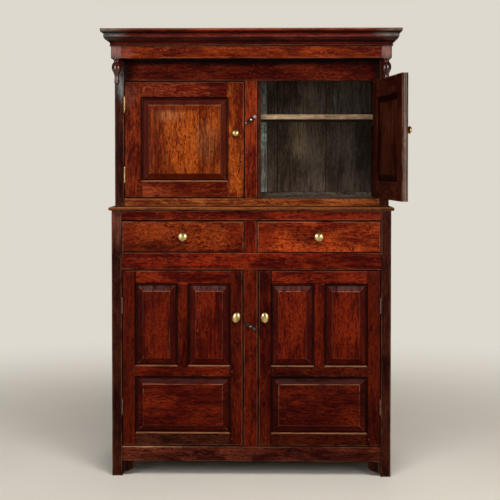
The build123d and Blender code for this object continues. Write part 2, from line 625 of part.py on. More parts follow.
def rear_stile(low, high, back_boards_low):
    """The left rear stile, rebated for the back boards."""
    stile = board((-HALF, -REAR_INNER), (Y_REAR_STILE, Y_BACK), (low, high))
    rebate = board((-REAR_INNER - BACK_REBATE, -REAR_INNER), (Y_BACK_BOARDS, Y_BACK), (back_boards_low, high))
    return stile - rebate


def back_rails(levels):
    """Rails across the back, tenoned into the rear stiles."""
    x = (-REAR_INNER, REAR_INNER)
    y = (Y_BACK_RAILS, Y_BACK_BOARDS)
    return [tenoned(x, y, level, "x", "y", BACK_TENON) for level in levels]


def back_boards(z):
    """Upright boards nailed over the back rails and into the rear stiles' rebates."""
    edge = REAR_INNER + BACK_REBATE - FITTING_GAP
    return boards_across(BACK_BOARD_COUNT, (-edge, edge), (Y_BACK_BOARDS, Y_BACK), z)


def floor_boards(x_edge, y, top, clearances):
    """Floor boards running front to back, the outer ones notched round the stiles."""
    pieces = boards_across(FLOOR_BOARD_COUNT, (-x_edge, x_edge), y, (top - FLOOR_BOARD_THICKNESS, top))
    mirrored = clearances + [mirror(piece, Plane.YZ) for piece in clearances]
    pieces[0] = cut(pieces[0], clearances)
    pieces[-1] = cut(pieces[-1], mirrored)
    return pieces


def front_pegs(members, jamb, y, levels, doubled):
    """Pegs through the front rails' tenons, two where a rail is tall enough."""
    spots = []
    for level, twice in zip(levels, doubled):
        middle = (level[0] + level[1]) / 2
        spread = (level[1] - level[0]) / 4 if twice else 0
        heights = sorted({middle - spread, middle + spread})
        spots += [(side * (jamb + PEG_INSET), y, height) for side in (-1, 1) for height in heights]
    return bore_for_pegs(members, spots, "front", CASE_PEG_LENGTH)


def side_pegs(members, y_ends, levels):
    """Pegs through the left side rails' tenons."""
    spots = [(-HALF, end, (level[0] + level[1]) / 2) for level in levels for end in y_ends]
    return bore_for_pegs(members, spots, "left", CASE_PEG_LENGTH)


# ---------------------------------------------------------------- lower cupboard
def lower_cupboard():
    """The lower cupboard's fixed pieces, by node."""
    z = (0, Z_LEDGE)
    front_y = (Y_FRONT, Y_FRONT + FRONT_RAIL_THICKNESS)
    across = (-LOWER_JAMB, LOWER_JAMB)
    side_y = (Y_FRONT + LOWER_STILE_DEPTH, Y_REAR_STILE)
    rail_levels = [(FOOT_HEIGHT, Z_DOORWAY), (Z_MIDDLE_RAIL, Z_DRAWERS), (Z_TOP_RAIL, Z_LEDGE)]
    side_levels = [(FOOT_HEIGHT, FOOT_HEIGHT + SIDE_BOTTOM_RAIL_HEIGHT), rail_levels[1],
                   (Z_LEDGE - SIDE_TOP_RAIL_HEIGHT, Z_LEDGE)]
    back_levels = [(FOOT_HEIGHT, Z_FLOOR - FLOOR_BOARD_THICKNESS), (Z_DRAWERS - BACK_RAIL_HEIGHT, Z_DRAWERS),
                   (Z_LEDGE - BACK_RAIL_HEIGHT, Z_LEDGE)]

    rails = [tenoned(across, front_y, level, "x", "y", CASE_TENON) for level in rail_levels]
    door_muntin = tenoned((MUNTIN_OFFSET - LOWER_MUNTIN_WIDTH / 2, MUNTIN_OFFSET + LOWER_MUNTIN_WIDTH / 2),
                          front_y, (Z_DOORWAY, Z_MIDDLE_RAIL), "z", "y", STUB_TENON)
    drawer_muntin = tenoned((MUNTIN_OFFSET - DRAWER_MUNTIN_WIDTH / 2, MUNTIN_OFFSET + DRAWER_MUNTIN_WIDTH / 2),
                            front_y, (Z_DRAWERS, Z_TOP_RAIL), "z", "y", STUB_TENON)
    side_rails, side_panels, side_cutters = side_frame(side_levels, side_y)
    backs = back_rails(back_levels)
    runners = drawer_runners()

    front_stile = board((-HALF, -LOWER_JAMB), (Y_FRONT, Y_FRONT + LOWER_STILE_DEPTH), z)
    front_stile = cut(front_stile, [rail.mortises for rail in rails] + side_cutters)
    rear = cut(rear_stile(0, Z_LEDGE, FOOT_HEIGHT), [rail.mortises for rail in backs] + side_cutters)
    muntins = [door_muntin.mortises, drawer_muntin.mortises]
    runner_cutters = [board(*span, MORTISE_PLAY) for span in runner_spans()]
    rebate = board(across, (front_y[1] - FLOOR_REBATE, front_y[1]), (Z_FLOOR - FLOOR_BOARD_THICKNESS, Z_DOORWAY))
    front_rails = [cut(rail.solid, muntins) for rail in rails]
    front_rails[0] = front_rails[0] - rebate
    front_rails[1] = cut(front_rails[1], runner_cutters)
    back_solids = [rail.solid for rail in backs]
    back_solids[1] = cut(back_solids[1], runner_cutters)

    y_ends = (side_y[0] - PEG_INSET, side_y[1] + PEG_INSET)
    bored, pegs = side_pegs([front_stile, rear] + side_rails, y_ends, side_levels)
    front_stile, rear, side_rails = bored[0], bored[1], bored[2:]
    pegs = both_sides(lambda: pegs)
    stiles = both_sides(lambda: [front_stile])
    bored, more_pegs = front_pegs(stiles + front_rails, LOWER_JAMB, Y_FRONT, rail_levels, (True, True, False))
    return {
        "lower_front_stiles": bored[:2],
        "lower_rear_stiles": both_sides(lambda: [rear]),
        "lower_front_rails": bored[2:],
        "lower_muntins": ([door_muntin.solid, drawer_muntin.solid]
                          + door_stops(LOWER_MUNTIN_WIDTH, Y_FRONT, Z_FLOOR, Z_MIDDLE_RAIL)),
        "lower_side_and_back_rails": both_sides(lambda: side_rails) + back_solids,
        "lower_side_panels": both_sides(lambda: side_panels),
        "lower_back_boards": back_boards((FOOT_HEIGHT, Z_LEDGE)),
        "lower_floor_boards": floor_boards(
            SIDE_INNER - FITTING_GAP, (front_y[1] - FLOOR_REBATE, Y_BACK_BOARDS), Z_FLOOR, lower_stile_clearance()),
        "drawer_runners": runners,
        "ledge_boards": ledge_boards(),
        "foot_brackets": both_sides(foot_bracket),
    }, pegs + more_pegs


def runner_spans():
    """The faces of the three drawer runners, before they are notched."""
    y = (Y_FRONT + FRONT_RAIL_THICKNESS - RUNNER_HOUSING, Y_BACK_RAILS + RUNNER_HOUSING)
    z = (Z_DRAWERS - RUNNER_THICKNESS, Z_DRAWERS)
    outer = (-SIDE_INNER, -SIDE_INNER + RUNNER_WIDTH)
    half = DRAWER_MUNTIN_WIDTH / 2 + RUNNER_WIDTH
    return [(outer, y, z), ((-outer[1], -outer[0]), y, z), ((MUNTIN_OFFSET - half, MUNTIN_OFFSET + half), y, z)]


def ledge_boards():
    """The two boards that top the lower cupboard: the open ledge with its rounded nose, and the one under the upper cupboard."""
    x = (-HALF - LEDGE_OVERHANG, HALF + LEDGE_OVERHANG)
    y_front = Y_FRONT - LEDGE_OVERHANG
    z = (Z_LEDGE, Z_UPPER)
    front = board(x, (y_front, Y_UPPER), z)
    rear = board(x, (Y_UPPER, Y_BACK), z)
    nose = [edge for edge in front.edges().filter_by(Axis.X) if abs(edge.center().Y - y_front) < 0.01]
    nose += list(front.edges().filter_by(Axis.Y))
    front = fillet(nose, radius=LEDGE_NOSE_RADIUS)
    rear = fillet(rear.edges().filter_by(Axis.Y), radius=LEDGE_NOSE_RADIUS)
    return [front, rear]


def foot_bracket():
    """The shaped bracket under the bottom rail beside the left foot."""
    left = -LOWER_JAMB + BRACKET_GAP
    low = FOOT_HEIGHT - BRACKET_HEIGHT
    right = left + BRACKET_WIDTH
    knee = FOOT_HEIGHT - BRACKET_CHEEK
    toe = left + BRACKET_TOE
    outline = [
        Line((left, FOOT_HEIGHT), (right, FOOT_HEIGHT)),
        Line((right, FOOT_HEIGHT), (right, knee)),
        ThreePointArc((right, knee), (toe + 0.6 * (right - toe), low + 0.55 * (knee - low)), (toe, low)),
        Line((toe, low), (left, low)),
        Line((left, low), (left, FOOT_HEIGHT)),
    ]
    face = Plane(origin=(0, Y_FRONT + BRACKET_SETBACK, 0), x_dir=(1, 0, 0), z_dir=(0, -1, 0)) * make_face(outline)
    return [extrude(face, amount=-BRACKET_THICKNESS)]


# ---------------------------------------------------------------- upper cupboard
def upper_cupboard():
    """The upper cupboard's fixed pieces, by node."""
    front_y = (Y_UPPER, Y_UPPER + FRONT_RAIL_THICKNESS)
    stile_y = (Y_UPPER, Y_UPPER + UPPER_STILE_DEPTH)
    side_y = (stile_y[1], Y_REAR_STILE)
    across = (-UPPER_JAMB, UPPER_JAMB)
    rail_levels = [(Z_UPPER, Z_UPPER_DOORWAY), (Z_UPPER_TOP_RAIL, Z_SOFFIT)]
    side_levels = [(Z_UPPER, Z_UPPER + SIDE_TOP_RAIL_HEIGHT), (Z_FRIEZE - SIDE_TOP_RAIL_HEIGHT, Z_FRIEZE)]
    back_levels = [(Z_UPPER, Z_UPPER + BACK_RAIL_HEIGHT), (Z_CORNICE - BACK_RAIL_HEIGHT, Z_CORNICE)]

    rails = [tenoned(across, front_y, level, "x", "y", CASE_TENON) for level in rail_levels]
    muntin = tenoned((MUNTIN_OFFSET - UPPER_MUNTIN_WIDTH / 2, MUNTIN_OFFSET + UPPER_MUNTIN_WIDTH / 2),
                     front_y, (Z_UPPER_DOORWAY, Z_UPPER_TOP_RAIL), "z", "y", STUB_TENON)
    side_rails, side_panels, side_cutters = side_frame(side_levels, side_y)
    friezes, frieze_cutters = side_friezes()
    backs = back_rails(back_levels)
    back_muntin = tenoned((BACK_MUNTIN_OFFSET - BACK_MUNTIN_WIDTH / 2, BACK_MUNTIN_OFFSET + BACK_MUNTIN_WIDTH / 2),
                          (Y_BACK_RAILS, Y_BACK_BOARDS), (back_levels[0][1], back_levels[1][0]),
                          "z", "y", STUB_TENON)

    stile = board((-HALF, -UPPER_JAMB), stile_y, (Z_UPPER, Z_FRIEZE)) + stile_top_tenon()
    stile = cut(stile, [rail.mortises for rail in rails] + side_cutters)
    rear = rear_stile(Z_UPPER, Z_CORNICE, Z_UPPER)
    rear = cut(rear, [rail.mortises for rail in backs] + side_cutters + frieze_cutters)
    rebate = board(across, (front_y[1] - FLOOR_REBATE, front_y[1]),
                   (Z_UPPER_FLOOR - FLOOR_BOARD_THICKNESS, Z_UPPER_DOORWAY))
    front_rails = [rail.solid - muntin.mortises for rail in rails]
    front_rails[0] = front_rails[0] - rebate
    back_solids = [rail.solid - back_muntin.mortises for rail in backs] + [back_muntin.solid]

    y_ends = (side_y[0] - PEG_INSET, side_y[1] + PEG_INSET)
    bored, pegs = side_pegs([stile, rear] + side_rails, y_ends, side_levels)
    stile, rear, side_rails = bored[0], bored[1], bored[2:]
    pegs = both_sides(lambda: pegs)
    stiles = both_sides(lambda: [stile])
    bored, more_pegs = front_pegs(stiles + front_rails, UPPER_JAMB, Y_UPPER, rail_levels, (False, True))

    clearances = [
        board((-HALF, -UPPER_JAMB), stile_y, (Z_UPPER, Z_FRIEZE), FITTING_GAP),
        board((-HALF, -REAR_INNER), (Y_REAR_STILE, Y_BACK), (Z_UPPER, Z_CORNICE), FITTING_GAP),
    ]
    shelf_z = Z_UPPER_DOORWAY + SHELF_HEIGHT
    shelf_x = SIDE_INNER - FITTING_GAP
    shelf = board((-shelf_x, shelf_x), (Y_UPPER + SHELF_SETBACK, Y_BACK_RAILS), (shelf_z, shelf_z + SHELF_THICKNESS))
    shelf = cut(shelf, clearances + [mirror(piece, Plane.YZ) for piece in clearances])
    bearer = board((-SIDE_INNER, -SIDE_INNER + BEARER_SIZE), side_y, (shelf_z - BEARER_SIZE, shelf_z))
    floor_bearer = board((-REAR_INNER, REAR_INNER), (Y_BACK_RAILS - BEARER_SIZE, Y_BACK_RAILS),
                         (Z_UPPER, Z_UPPER_FLOOR - FLOOR_BOARD_THICKNESS))
    return {
        "upper_front_stiles": bored[:2],
        "upper_rear_stiles": both_sides(lambda: [rear]),
        "upper_front_rails": bored[2:],
        "upper_muntin": [muntin.solid] + door_stops(UPPER_MUNTIN_WIDTH, Y_UPPER, Z_UPPER_FLOOR, Z_UPPER_TOP_RAIL),
        "upper_side_and_back_rails": both_sides(lambda: side_rails) + back_solids,
        "upper_side_panels": both_sides(lambda: side_panels),
        "upper_back_boards": back_boards((Z_UPPER, Z_CORNICE)),
        "upper_floor_boards": floor_boards(
            SIDE_INNER - FITTING_GAP, (front_y[1] - FLOOR_REBATE, Y_BACK_RAILS - FITTING_GAP),
            Z_UPPER_FLOOR, clearances),
        "upper_shelf": [shelf],
        "shelf_bearers": both_sides(lambda: [bearer]) + [floor_bearer],
        "canopy_frieze": [front_frieze().solid - soffit_groove()] + both_sides(lambda: friezes),
        "canopy_posts": both_sides(lambda: [canopy_post(frieze_cutters)]),
        "canopy_boards": [soffit()] + top_boards(),
        "cornice": cornice(),
    }, pegs + more_pegs


def stile_top_tenon(grow=0.0):
    """The tenon that joins the upper left stile to the side frieze above it."""
    middle = -(HALF + SIDE_INNER) / 2
    return board((middle - TENON_THICKNESS / 2, middle + TENON_THICKNESS / 2),
                 (Y_UPPER + TENON_SHOULDER, Y_UPPER + UPPER_STILE_DEPTH - TENON_SHOULDER),
                 (Z_FRIEZE - STUB_TENON, Z_FRIEZE + STUB_TENON), grow)


def side_friezes():
    """The left side frieze, from the corner post back to the rear stile, and its mortise cutters."""
    rail = tenoned((-HALF, -SIDE_INNER), (Y_FRONT + POST_SIZE, Y_REAR_STILE), (Z_FRIEZE, Z_CORNICE),
                   "y", "x", STUB_TENON)
    return [rail.solid - stile_top_tenon(MORTISE_PLAY)], [rail.mortises]


def front_frieze():
    """The front frieze rail between the corner posts."""
    y = Y_FRONT + FRIEZE_SETBACK
    return tenoned((POST_SIZE - HALF, HALF - POST_SIZE), (y, y + FRIEZE_THICKNESS), (Z_FRIEZE, Z_CORNICE),
                   "x", "y", STUB_TENON)


def soffit_groove():
    """The groove in the frieze's back that takes the soffit's front edge."""
    back = Y_FRONT + FRIEZE_SETBACK + FRIEZE_THICKNESS
    reach = HALF - POST_SIZE
    return board((-reach, reach), (back - SOFFIT_HOUSING, back), (Z_SOFFIT, Z_SOFFIT + SOFFIT_THICKNESS),
                 MORTISE_PLAY)


def soffit():
    """The board that closes the canopy from below, on the upper top rail and in the frieze's groove."""
    edge = SIDE_INNER - FITTING_GAP
    y = (Y_FRONT + FRIEZE_SETBACK + FRIEZE_THICKNESS - SOFFIT_HOUSING, Y_UPPER + FRONT_RAIL_THICKNESS)
    piece = board((-edge, edge), y, (Z_SOFFIT, Z_SOFFIT + SOFFIT_THICKNESS))
    post = board((-HALF, -HALF + POST_SIZE), (Y_FRONT, Y_FRONT + POST_SIZE), (Z_FRIEZE, Z_CORNICE), FITTING_GAP)
    return piece - post - mirror(post, Plane.YZ)


def canopy_post(frieze_cutters):
    """The left corner post of the canopy, turned below as a drop pendant."""
    post = board((-HALF, -HALF + POST_SIZE), (Y_FRONT, Y_FRONT + POST_SIZE), (Z_FRIEZE, Z_CORNICE))
    collar = (PENDANT_COLLAR_RADIUS, -0.02 * PENDANT_LENGTH)
    neck = (PENDANT_NECK_RADIUS, -0.13 * PENDANT_LENGTH)
    bulb = (PENDANT_BULB_RADIUS, -0.34 * PENDANT_LENGTH)
    waist = (PENDANT_WAIST_RADIUS, -0.7 * PENDANT_LENGTH)
    tip = (PENDANT_TIP_RADIUS, -0.91 * PENDANT_LENGTH)
    down = (0, -1)
    outline = [
        Line((0, 0), (collar[0], 0)),
        Line((collar[0], 0), collar),
        ThreePointArc(collar, (0.35 * collar[0] + 0.55 * neck[0], 0.55 * neck[1]), neck),
        Spline(neck, bulb, tangents=((1, -0.6), down)),
        Spline(bulb, waist, tangents=(down, down)),
        Spline(waist, tip, tangents=(down, down)),
        dome(PENDANT_TIP_RADIUS, tip[1], -PENDANT_LENGTH),
        Line((0, -PENDANT_LENGTH), (0, 0)),
    ]
    plane = Plane(origin=(-PENDANT_X, PENDANT_Y, Z_FRIEZE), x_dir=(1, 0, 0), z_dir=(0, -1, 0))
    pendant = revolve(plane * make_face(outline), Axis((-PENDANT_X, PENDANT_Y, 0), (0, 0, 1)))
    return cut(post + pendant, frieze_cutters + [front_frieze().mortises])


def cornice():
    """The cornice moulding in three lengths, mitred at the front corners."""
    top = CORNICE_HEIGHT
    out = CORNICE_OVERHANG
    outline = [
        Line((-CORNICE_SEAT, 0), (0.13 * out, 0)),
        Line((0.13 * out, 0), (0.13 * out, 0.045 * top)),
        Line((0.13 * out, 0.045 * top), (0.09 * out, 0.06 * top)),
        ThreePointArc((0.09 * out, 0.06 * top), (0.13 * out, 0.2 * top), (0.3 * out, 0.31 * top)),
        Line((0.3 * out, 0.31 * top), (0.3 * out, 0.345 * top)),
        Line((0.3 * out, 0.345 * top), (0.55 * out, 0.365 * top)),
        Line((0.55 * out, 0.365 * top), (0.56 * out, 0.4 * top)),
        ThreePointArc((0.56 * out, 0.4 * top), (0.68 * out, 0.5 * top), (0.7 * out, 0.64 * top)),
        Line((0.7 * out, 0.64 * top), (0.66 * out, 0.66 * top)),
        ThreePointArc((0.66 * out, 0.66 * top), (0.7 * out, 0.74 * top), (0.86 * out, 0.785 * top)),
        Line((0.86 * out, 0.785 * top), (0.94 * out, 0.79 * top)),
        ThreePointArc((0.94 * out, 0.79 * top), (0.985 * out, 0.84 * top), (out, 0.92 * top)),
        Line((out, 0.92 * top), (out, top)),
        Line((out, top), (-CORNICE_SEAT, top)),
        Line((-CORNICE_SEAT, top), (-CORNICE_SEAT, 0)),
    ]
    path = Polyline((-HALF, Y_BACK, Z_CORNICE), (-HALF, Y_FRONT, Z_CORNICE),
                    (HALF, Y_FRONT, Z_CORNICE), (HALF, Y_BACK, Z_CORNICE))
    start = Plane(origin=(-HALF, Y_BACK, Z_CORNICE), x_dir=(-1, 0, 0), z_dir=(0, 1, 0))
    whole = sweep(start * make_face(outline), path=path, transition=Transition.RIGHT)
    left_mitre = Plane(origin=(-HALF, Y_FRONT, 0), x_dir=(1, 1, 0), z_dir=(1, -1, 0))
    right_mitre = Plane(origin=(HALF, Y_FRONT, 0), x_dir=(1, -1, 0), z_dir=(-1, -1, 0))
    front = split(split(whole, left_mitre, keep=Keep.TOP), right_mitre, keep=Keep.TOP)
    left = split(whole, left_mitre, keep=Keep.BOTTOM)
    right = split(whole, right_mitre, keep=Keep.BOTTOM)
    return [front, left, right]


def top_boards():
    """Dust boards on the friezes and the back rail, inside the cornice."""
    edge = HALF - CORNICE_SEAT - FITTING_GAP
    y = (Y_FRONT + CORNICE_SEAT + FITTING_GAP, Y_BACK)
    return boards_across(TOP_BOARD_COUNT, (-edge, edge), y, (Z_CORNICE, Z_CORNICE + TOP_BOARD_THICKNESS), "y")


# ---------------------------------------------------------------- the whole cupboard
def open_angle(pin_x, pin_y):
    """How far an upper door opens before its face would meet the pendant's tip, in degrees."""
    across = PENDANT_X - pin_x
    forward = pin_y - PENDANT_Y
    reach = hypot(across, forward)
    rest = PENDANT_TIP_RADIUS + PENDANT_STOP_GAP - PIN_PROUD
    return degrees(atan2(across, forward) + acos(rest / reach))


def assemble():
    """Every node's solids, by node name."""
    nodes, pegs = lower_cupboard()
    upper_nodes, upper_pegs = upper_cupboard()
    nodes.update(upper_nodes)
    nodes["joint_pegs"] = pegs + upper_pegs

    upper_pin = (UPPER_JAMB - DOOR_GAP / 2, Y_UPPER - PIN_PROUD)
    lower_pin = (LOWER_JAMB - DOOR_GAP / 2, Y_FRONT - PIN_PROUD)
    swing = open_angle(*upper_pin)
    upper_knob = turned_knob(UPPER_KNOB_DIAMETER, UPPER_KNOB_LENGTH)
    oval, oval_hole = turned_knob(LOWER_KNOB_DIAMETER, LOWER_KNOB_LENGTH, LOWER_KNOB_STRETCH)
    lower_knobs = {"left": (Rot(0, LOWER_KNOB_TILT, 0) * oval, oval_hole), "right": (oval, oval_hole)}
    drawer_knob = turned_knob(DRAWER_KNOB_DIAMETER, DRAWER_KNOB_LENGTH)
    upper_z = Z_UPPER_DOORWAY + DOOR_GAP
    lower_z = Z_DOORWAY + DOOR_GAP
    doors = {}
    for side, hand in (("left", 1), ("right", -1)):
        upper_width = UPPER_JAMB + hand * MUNTIN_OFFSET - UPPER_MUNTIN_WIDTH / 2 - 2 * DOOR_GAP
        lower_width = LOWER_JAMB + hand * MUNTIN_OFFSET - LOWER_MUNTIN_WIDTH / 2 - 2 * DOOR_GAP
        turn = swing if side == "right" else 0.0
        doors[f"upper_{side}_door"] = hung(upper_door(upper_width, upper_knob),
                                           -hand * upper_pin[0], upper_pin[1], upper_z, hand, turn)
        doors[f"lower_{side}_door"] = hung(lower_door(lower_width, lower_knobs[side]),
                                           -hand * lower_pin[0], lower_pin[1], lower_z, hand)
    for door, parts in doors.items():
        if door.startswith("lower"):
            parts["upper_panels"] = parts["panels"][1:]
            parts["lower_panel"] = parts.pop("panels")[:1]
        else:
            parts["panel"] = parts.pop("panels")
            parts.pop("muntin")
        nodes.update({f"{door}_{name}": pieces for name, pieces in parts.items()})

    leaf = hinge()
    upper_height = UPPER_DOORWAY_HEIGHT - 2 * DOOR_GAP
    lower_height = LOWER_DOORWAY_HEIGHT - 2 * DOOR_GAP
    upper_levels = [upper_z + UPPER_HINGE_INSET, upper_z + upper_height - UPPER_HINGE_INSET]
    lower_levels = [lower_z + LOWER_HINGE_INSET_BOTTOM, lower_z + lower_height - LOWER_HINGE_INSET_TOP]
    hinge_spots = [(*upper_pin, level) for level in upper_levels] + [(*lower_pin, level) for level in lower_levels]
    left_hinges = [Pos(-x, y, z) for x, y, z in hinge_spots]
    nodes["case_hinge_leaves"] = both_sides(
        lambda: [place * piece for place in left_hinges for piece in (leaf.case_leaf, leaf.pin)])
    recesses = both_sides(lambda: [place * leaf.recess for place in left_hinges])
    for name, low, high in (("upper_front_stiles", Z_UPPER, Z_FRIEZE), ("lower_front_stiles", 0, Z_LEDGE)):
        meeting = [piece for piece in recesses if low < piece.center().Z < high]
        nodes[name] = [cut(piece, meeting) for piece in nodes[name]]

    for side, x in (("left", (-LOWER_JAMB, MUNTIN_OFFSET - DRAWER_MUNTIN_WIDTH / 2)),
                    ("right", (MUNTIN_OFFSET + DRAWER_MUNTIN_WIDTH / 2, LOWER_JAMB))):
        parts = drawer((x[0] + DOOR_GAP, x[1] - DOOR_GAP), drawer_knob)
        nodes.update({f"{side}_drawer_{name}": pieces for name, pieces in parts.items()})

    button, screw, hole = turn_button(UPPER_BUTTON_LENGTH, UPPER_BUTTON_TURN)
    upper_seat = Pos(MUNTIN_OFFSET, Y_UPPER, Z_UPPER_DOORWAY + UPPER_BUTTON_RISE)
    nodes["upper_turn_button"] = [upper_seat * button]
    nodes["upper_muntin"] = [piece - upper_seat * hole for piece in nodes["upper_muntin"]]
    button, _, _ = turn_button(LOWER_BUTTON_LENGTH, LOWER_BUTTON_TURN)
    lower_seat = Pos(MUNTIN_OFFSET, Y_FRONT, Z_DOORWAY + LOWER_BUTTON_RISE)
    nodes["lower_turn_button"] = [lower_seat * button]
    nodes["lower_muntins"][0] = nodes["lower_muntins"][0] - lower_seat * hole
    nodes["turn_button_screws"] = [upper_seat * screw, lower_seat * screw]
    print(f"the upper doors open {swing:.2f} degrees, on pins at x {upper_pin[0]:.3f}, y {upper_pin[1]:.3f}")
    print(f"the lower doors' pins are at x {lower_pin[0]:.3f}, y {lower_pin[1]:.3f}")
    return nodes


def write_steps(nodes):
    """One STEP file for each node."""
    os.makedirs("parts", exist_ok=True)
    for name, pieces in nodes.items():
        solids = [solid for piece in pieces for solid in piece.solids()]
        export_step(Compound(solids), f"parts/{name}.step")
    print(f"{len(nodes)} nodes")


if __name__ == "__main__":
    write_steps(assemble())
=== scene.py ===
"""Court cupboard: dresses the joined cupboard in waxed oak, brass and iron, and sets its stage."""

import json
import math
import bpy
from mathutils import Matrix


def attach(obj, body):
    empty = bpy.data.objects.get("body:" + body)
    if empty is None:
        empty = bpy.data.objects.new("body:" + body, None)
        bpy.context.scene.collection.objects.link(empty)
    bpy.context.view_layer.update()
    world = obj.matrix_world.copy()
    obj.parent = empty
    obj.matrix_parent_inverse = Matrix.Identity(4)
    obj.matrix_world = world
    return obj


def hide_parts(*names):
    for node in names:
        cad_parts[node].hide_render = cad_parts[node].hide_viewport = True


bl_info = {
    "name": "Court Cupboard",
    "version": (1, 0, 0),
    "blender": (4, 5, 0),
    "location": "3D View > Sidebar > Cupboard",
    "description": "Waxed oak, brass and iron for a joined court cupboard",
    "category": "Object",
}

import bmesh
import bpy
from bpy.props import FloatProperty, FloatVectorProperty, IntProperty, PointerProperty
from mathutils import Matrix, Vector, noise

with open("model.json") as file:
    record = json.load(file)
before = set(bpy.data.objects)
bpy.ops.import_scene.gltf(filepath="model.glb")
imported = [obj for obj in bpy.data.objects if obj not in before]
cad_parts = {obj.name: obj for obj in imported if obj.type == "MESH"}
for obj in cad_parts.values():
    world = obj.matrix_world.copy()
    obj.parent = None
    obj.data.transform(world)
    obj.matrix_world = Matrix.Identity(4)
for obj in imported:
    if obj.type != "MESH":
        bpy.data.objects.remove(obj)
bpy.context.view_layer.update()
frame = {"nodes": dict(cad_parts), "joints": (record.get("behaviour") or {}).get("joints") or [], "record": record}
BODIES = frame["record"]["behaviour"]["bodies"]
BODY_OF = {node: body for body, nodes in BODIES.items() for node in nodes}
JOINTS = {joint["name"]: joint for joint in frame["joints"]}
DOORS = ("upper_left_door", "upper_right_door", "lower_left_door", "lower_right_door")

MM = 0.001

FLAT_ANGLE = math.radians(0.4)       # triangles that meet at less are one flat face
ROUNDED_ANGLE = math.radians(28)     # edges that turn by more are rounded
SMOOTH_ANGLE = math.radians(26)      # edges that turn by more show as a line
SHORTEST_ROUNDED = 9 * MM            # edges that are shorter aren't rounded
ROUND_STEPS, ROUND_PROFILE = 2, 0.6
SAME_PLACE = 0.01 * MM               # points that lie nearer are one
JOIN_REACH = 2 * MM                  # a side that is further inside its door meets another board
BOARD_SWELL = 0.45 * MM              # how far each edge of a back board has swollen towards its neighbour
STRAY_APART = (Vector((9.3, -1.5, -8.0)), Vector((0.0, 0.0, 0.0)), Vector((-6.3, 2.4, 4.1)))

GROOVE_TONGUE = 7.4 * MM             # how far a panel's edge lies in its groove
FIELD_EDGE = GROOVE_TONGUE + 27 * MM     # from a panel's edge to its raised field
BEAD_WIDTH = 8.4 * MM                # the moulding round a door's panels
WORN_WIDTH = 1.9 * MM                # half the line along which an edge has lost its wax
FRIEZE_FOOT = 1.652                  # height of the frieze's lower edge, where the turned pendants begin
IRON_HINGE_TOP = 1.0                 # hinges and screws below this height have lost their brightness

SCREW_PITCH = 21 * MM                # between the screws of a hinge leaf
SCREW_RISE, SCREW_SIDES = 0.45 * MM, 14
LEAF_FACE = 1.2 * MM                 # from a hinge pin's middle to the face of a leaf
LEAF_MIDDLE = 14.6 * MM              # from a hinge pin back to the middle of a leaf
NAIL_RISE, NAIL_SIDES = 1.1 * MM, 5
NAIL_INSET = 24 * MM                 # from a board's end to its first nail
BACK_NAIL_LEVELS = {"lower_back_boards": (0.079, 0.864, 1.029), "upper_back_boards": (1.091, 1.676)}
TOP_NAIL_INSET = 9 * MM              # from a top board's long edge
THINNEST_TOP_BOARD = 11 * MM         # the soffit is thinner, and has no nails
FLOOR_NAIL_FRONT, FLOOR_NAIL_BACK = 30 * MM, 14 * MM     # from a floor board's front and back ends


def screen(red, green, blue):
    """A colour given in screen steps of 0 to 255, as the shader wants it."""
    steps = [step / 255 for step in (red, green, blue)]
    return tuple(s / 12.92 if s <= 0.04045 else ((s + 0.055) / 1.055) ** 2.4 for s in steps)


# ---------------------------------------------------------------- what a user may change
def stain(name, description, red, green, blue):
    """A colour property."""
    return FloatVectorProperty(name=name, description=description, subtype="COLOR", size=3, min=0.0, max=1.0,
                               default=screen(red, green, blue))


def length(name, description, millimetres):
    """A length property."""
    return FloatProperty(name=name, description=description, subtype="DISTANCE", unit="LENGTH", min=0.0,
                         default=millimetres * MM)


def plain_setting(name, description, value):
    """A property that is a plain factor."""
    return FloatProperty(name=name, description=description, min=0.0, max=5.0, default=value)


def angle_setting(name, description, degrees):
    """An angle property."""
    return FloatProperty(name=name, description=description, subtype="ANGLE", default=math.radians(degrees))


def power_setting(name, description, watts):
    """The power of a light."""
    return FloatProperty(name=name, description=description, unit="POWER", default=watts)


class CupboardStains(bpy.types.PropertyGroup):
    """The colours of the oak, and of the light and shade painted on it."""

    red_oak: stain("Red oak", "Bright red-brown of the frieze, the drawers and the shut upper door", 106, 31, 9)
    chestnut: stain("Chestnut", "Orange-brown of the upper door's panel", 128, 48, 12)
    oxblood: stain("Oxblood", "Deep red of the lower doors, the cornice and the rails", 86, 16, 4)
    umber: stain("Umber", "Dark brown of the case's stiles and sides", 56, 17, 10)
    tan: stain("Tan", "Worn tan of the ledge and the rail above it", 116, 54, 22)
    grey_board: stain("Grey board", "Dry grey-brown of the back boards", 106, 92, 82)
    # weathered is a painted highlight: the bluish sheen of light on the wax, painted on the upper case's left stile,
    # the cornice's ends, the back muntin and a back board
    weathered: stain("Weathered", "Bluish grey of wood that was never waxed", 112, 116, 112)
    # pale_board is also painted as light on the top of the upper back boards
    pale_board: stain("Pale board", "Pale unstained shelf and drawer linings", 160, 138, 108)
    # worn_edge is wear, and is also painted as a highlight on mouldings and arrises that face up
    worn_edge: stain("Worn edge", "Where the colour has rubbed off an edge", 170, 118, 84)
    # top_sheen is a painted sheen: the light that falls on what faces up
    top_sheen: stain("Bloom", "Pinkish grey film of old wax on what looks up", 118, 92, 88)
    # film is a painted grey sheen on the open door's edge
    film: stain("Film", "Pale grey film on the open door's edge", 128, 116, 106)
    rose: stain("Rose", "Sun-bleached red of the canopy's corner posts", 122, 66, 52)
    # rubbed is also the colour of a painted highlight on the upper door's panel
    rubbed: stain("Rubbed", "Paler oak where hands have worn the wax", 156, 96, 56)
    # grime_and_shade is dirt and knots, and also painted shade: in the groove round a panel, along free edges, on
    # what faces down, and where shadows fall
    grime_and_shade: stain("Grime", "Dirt packed in the corners", 16, 9, 7)


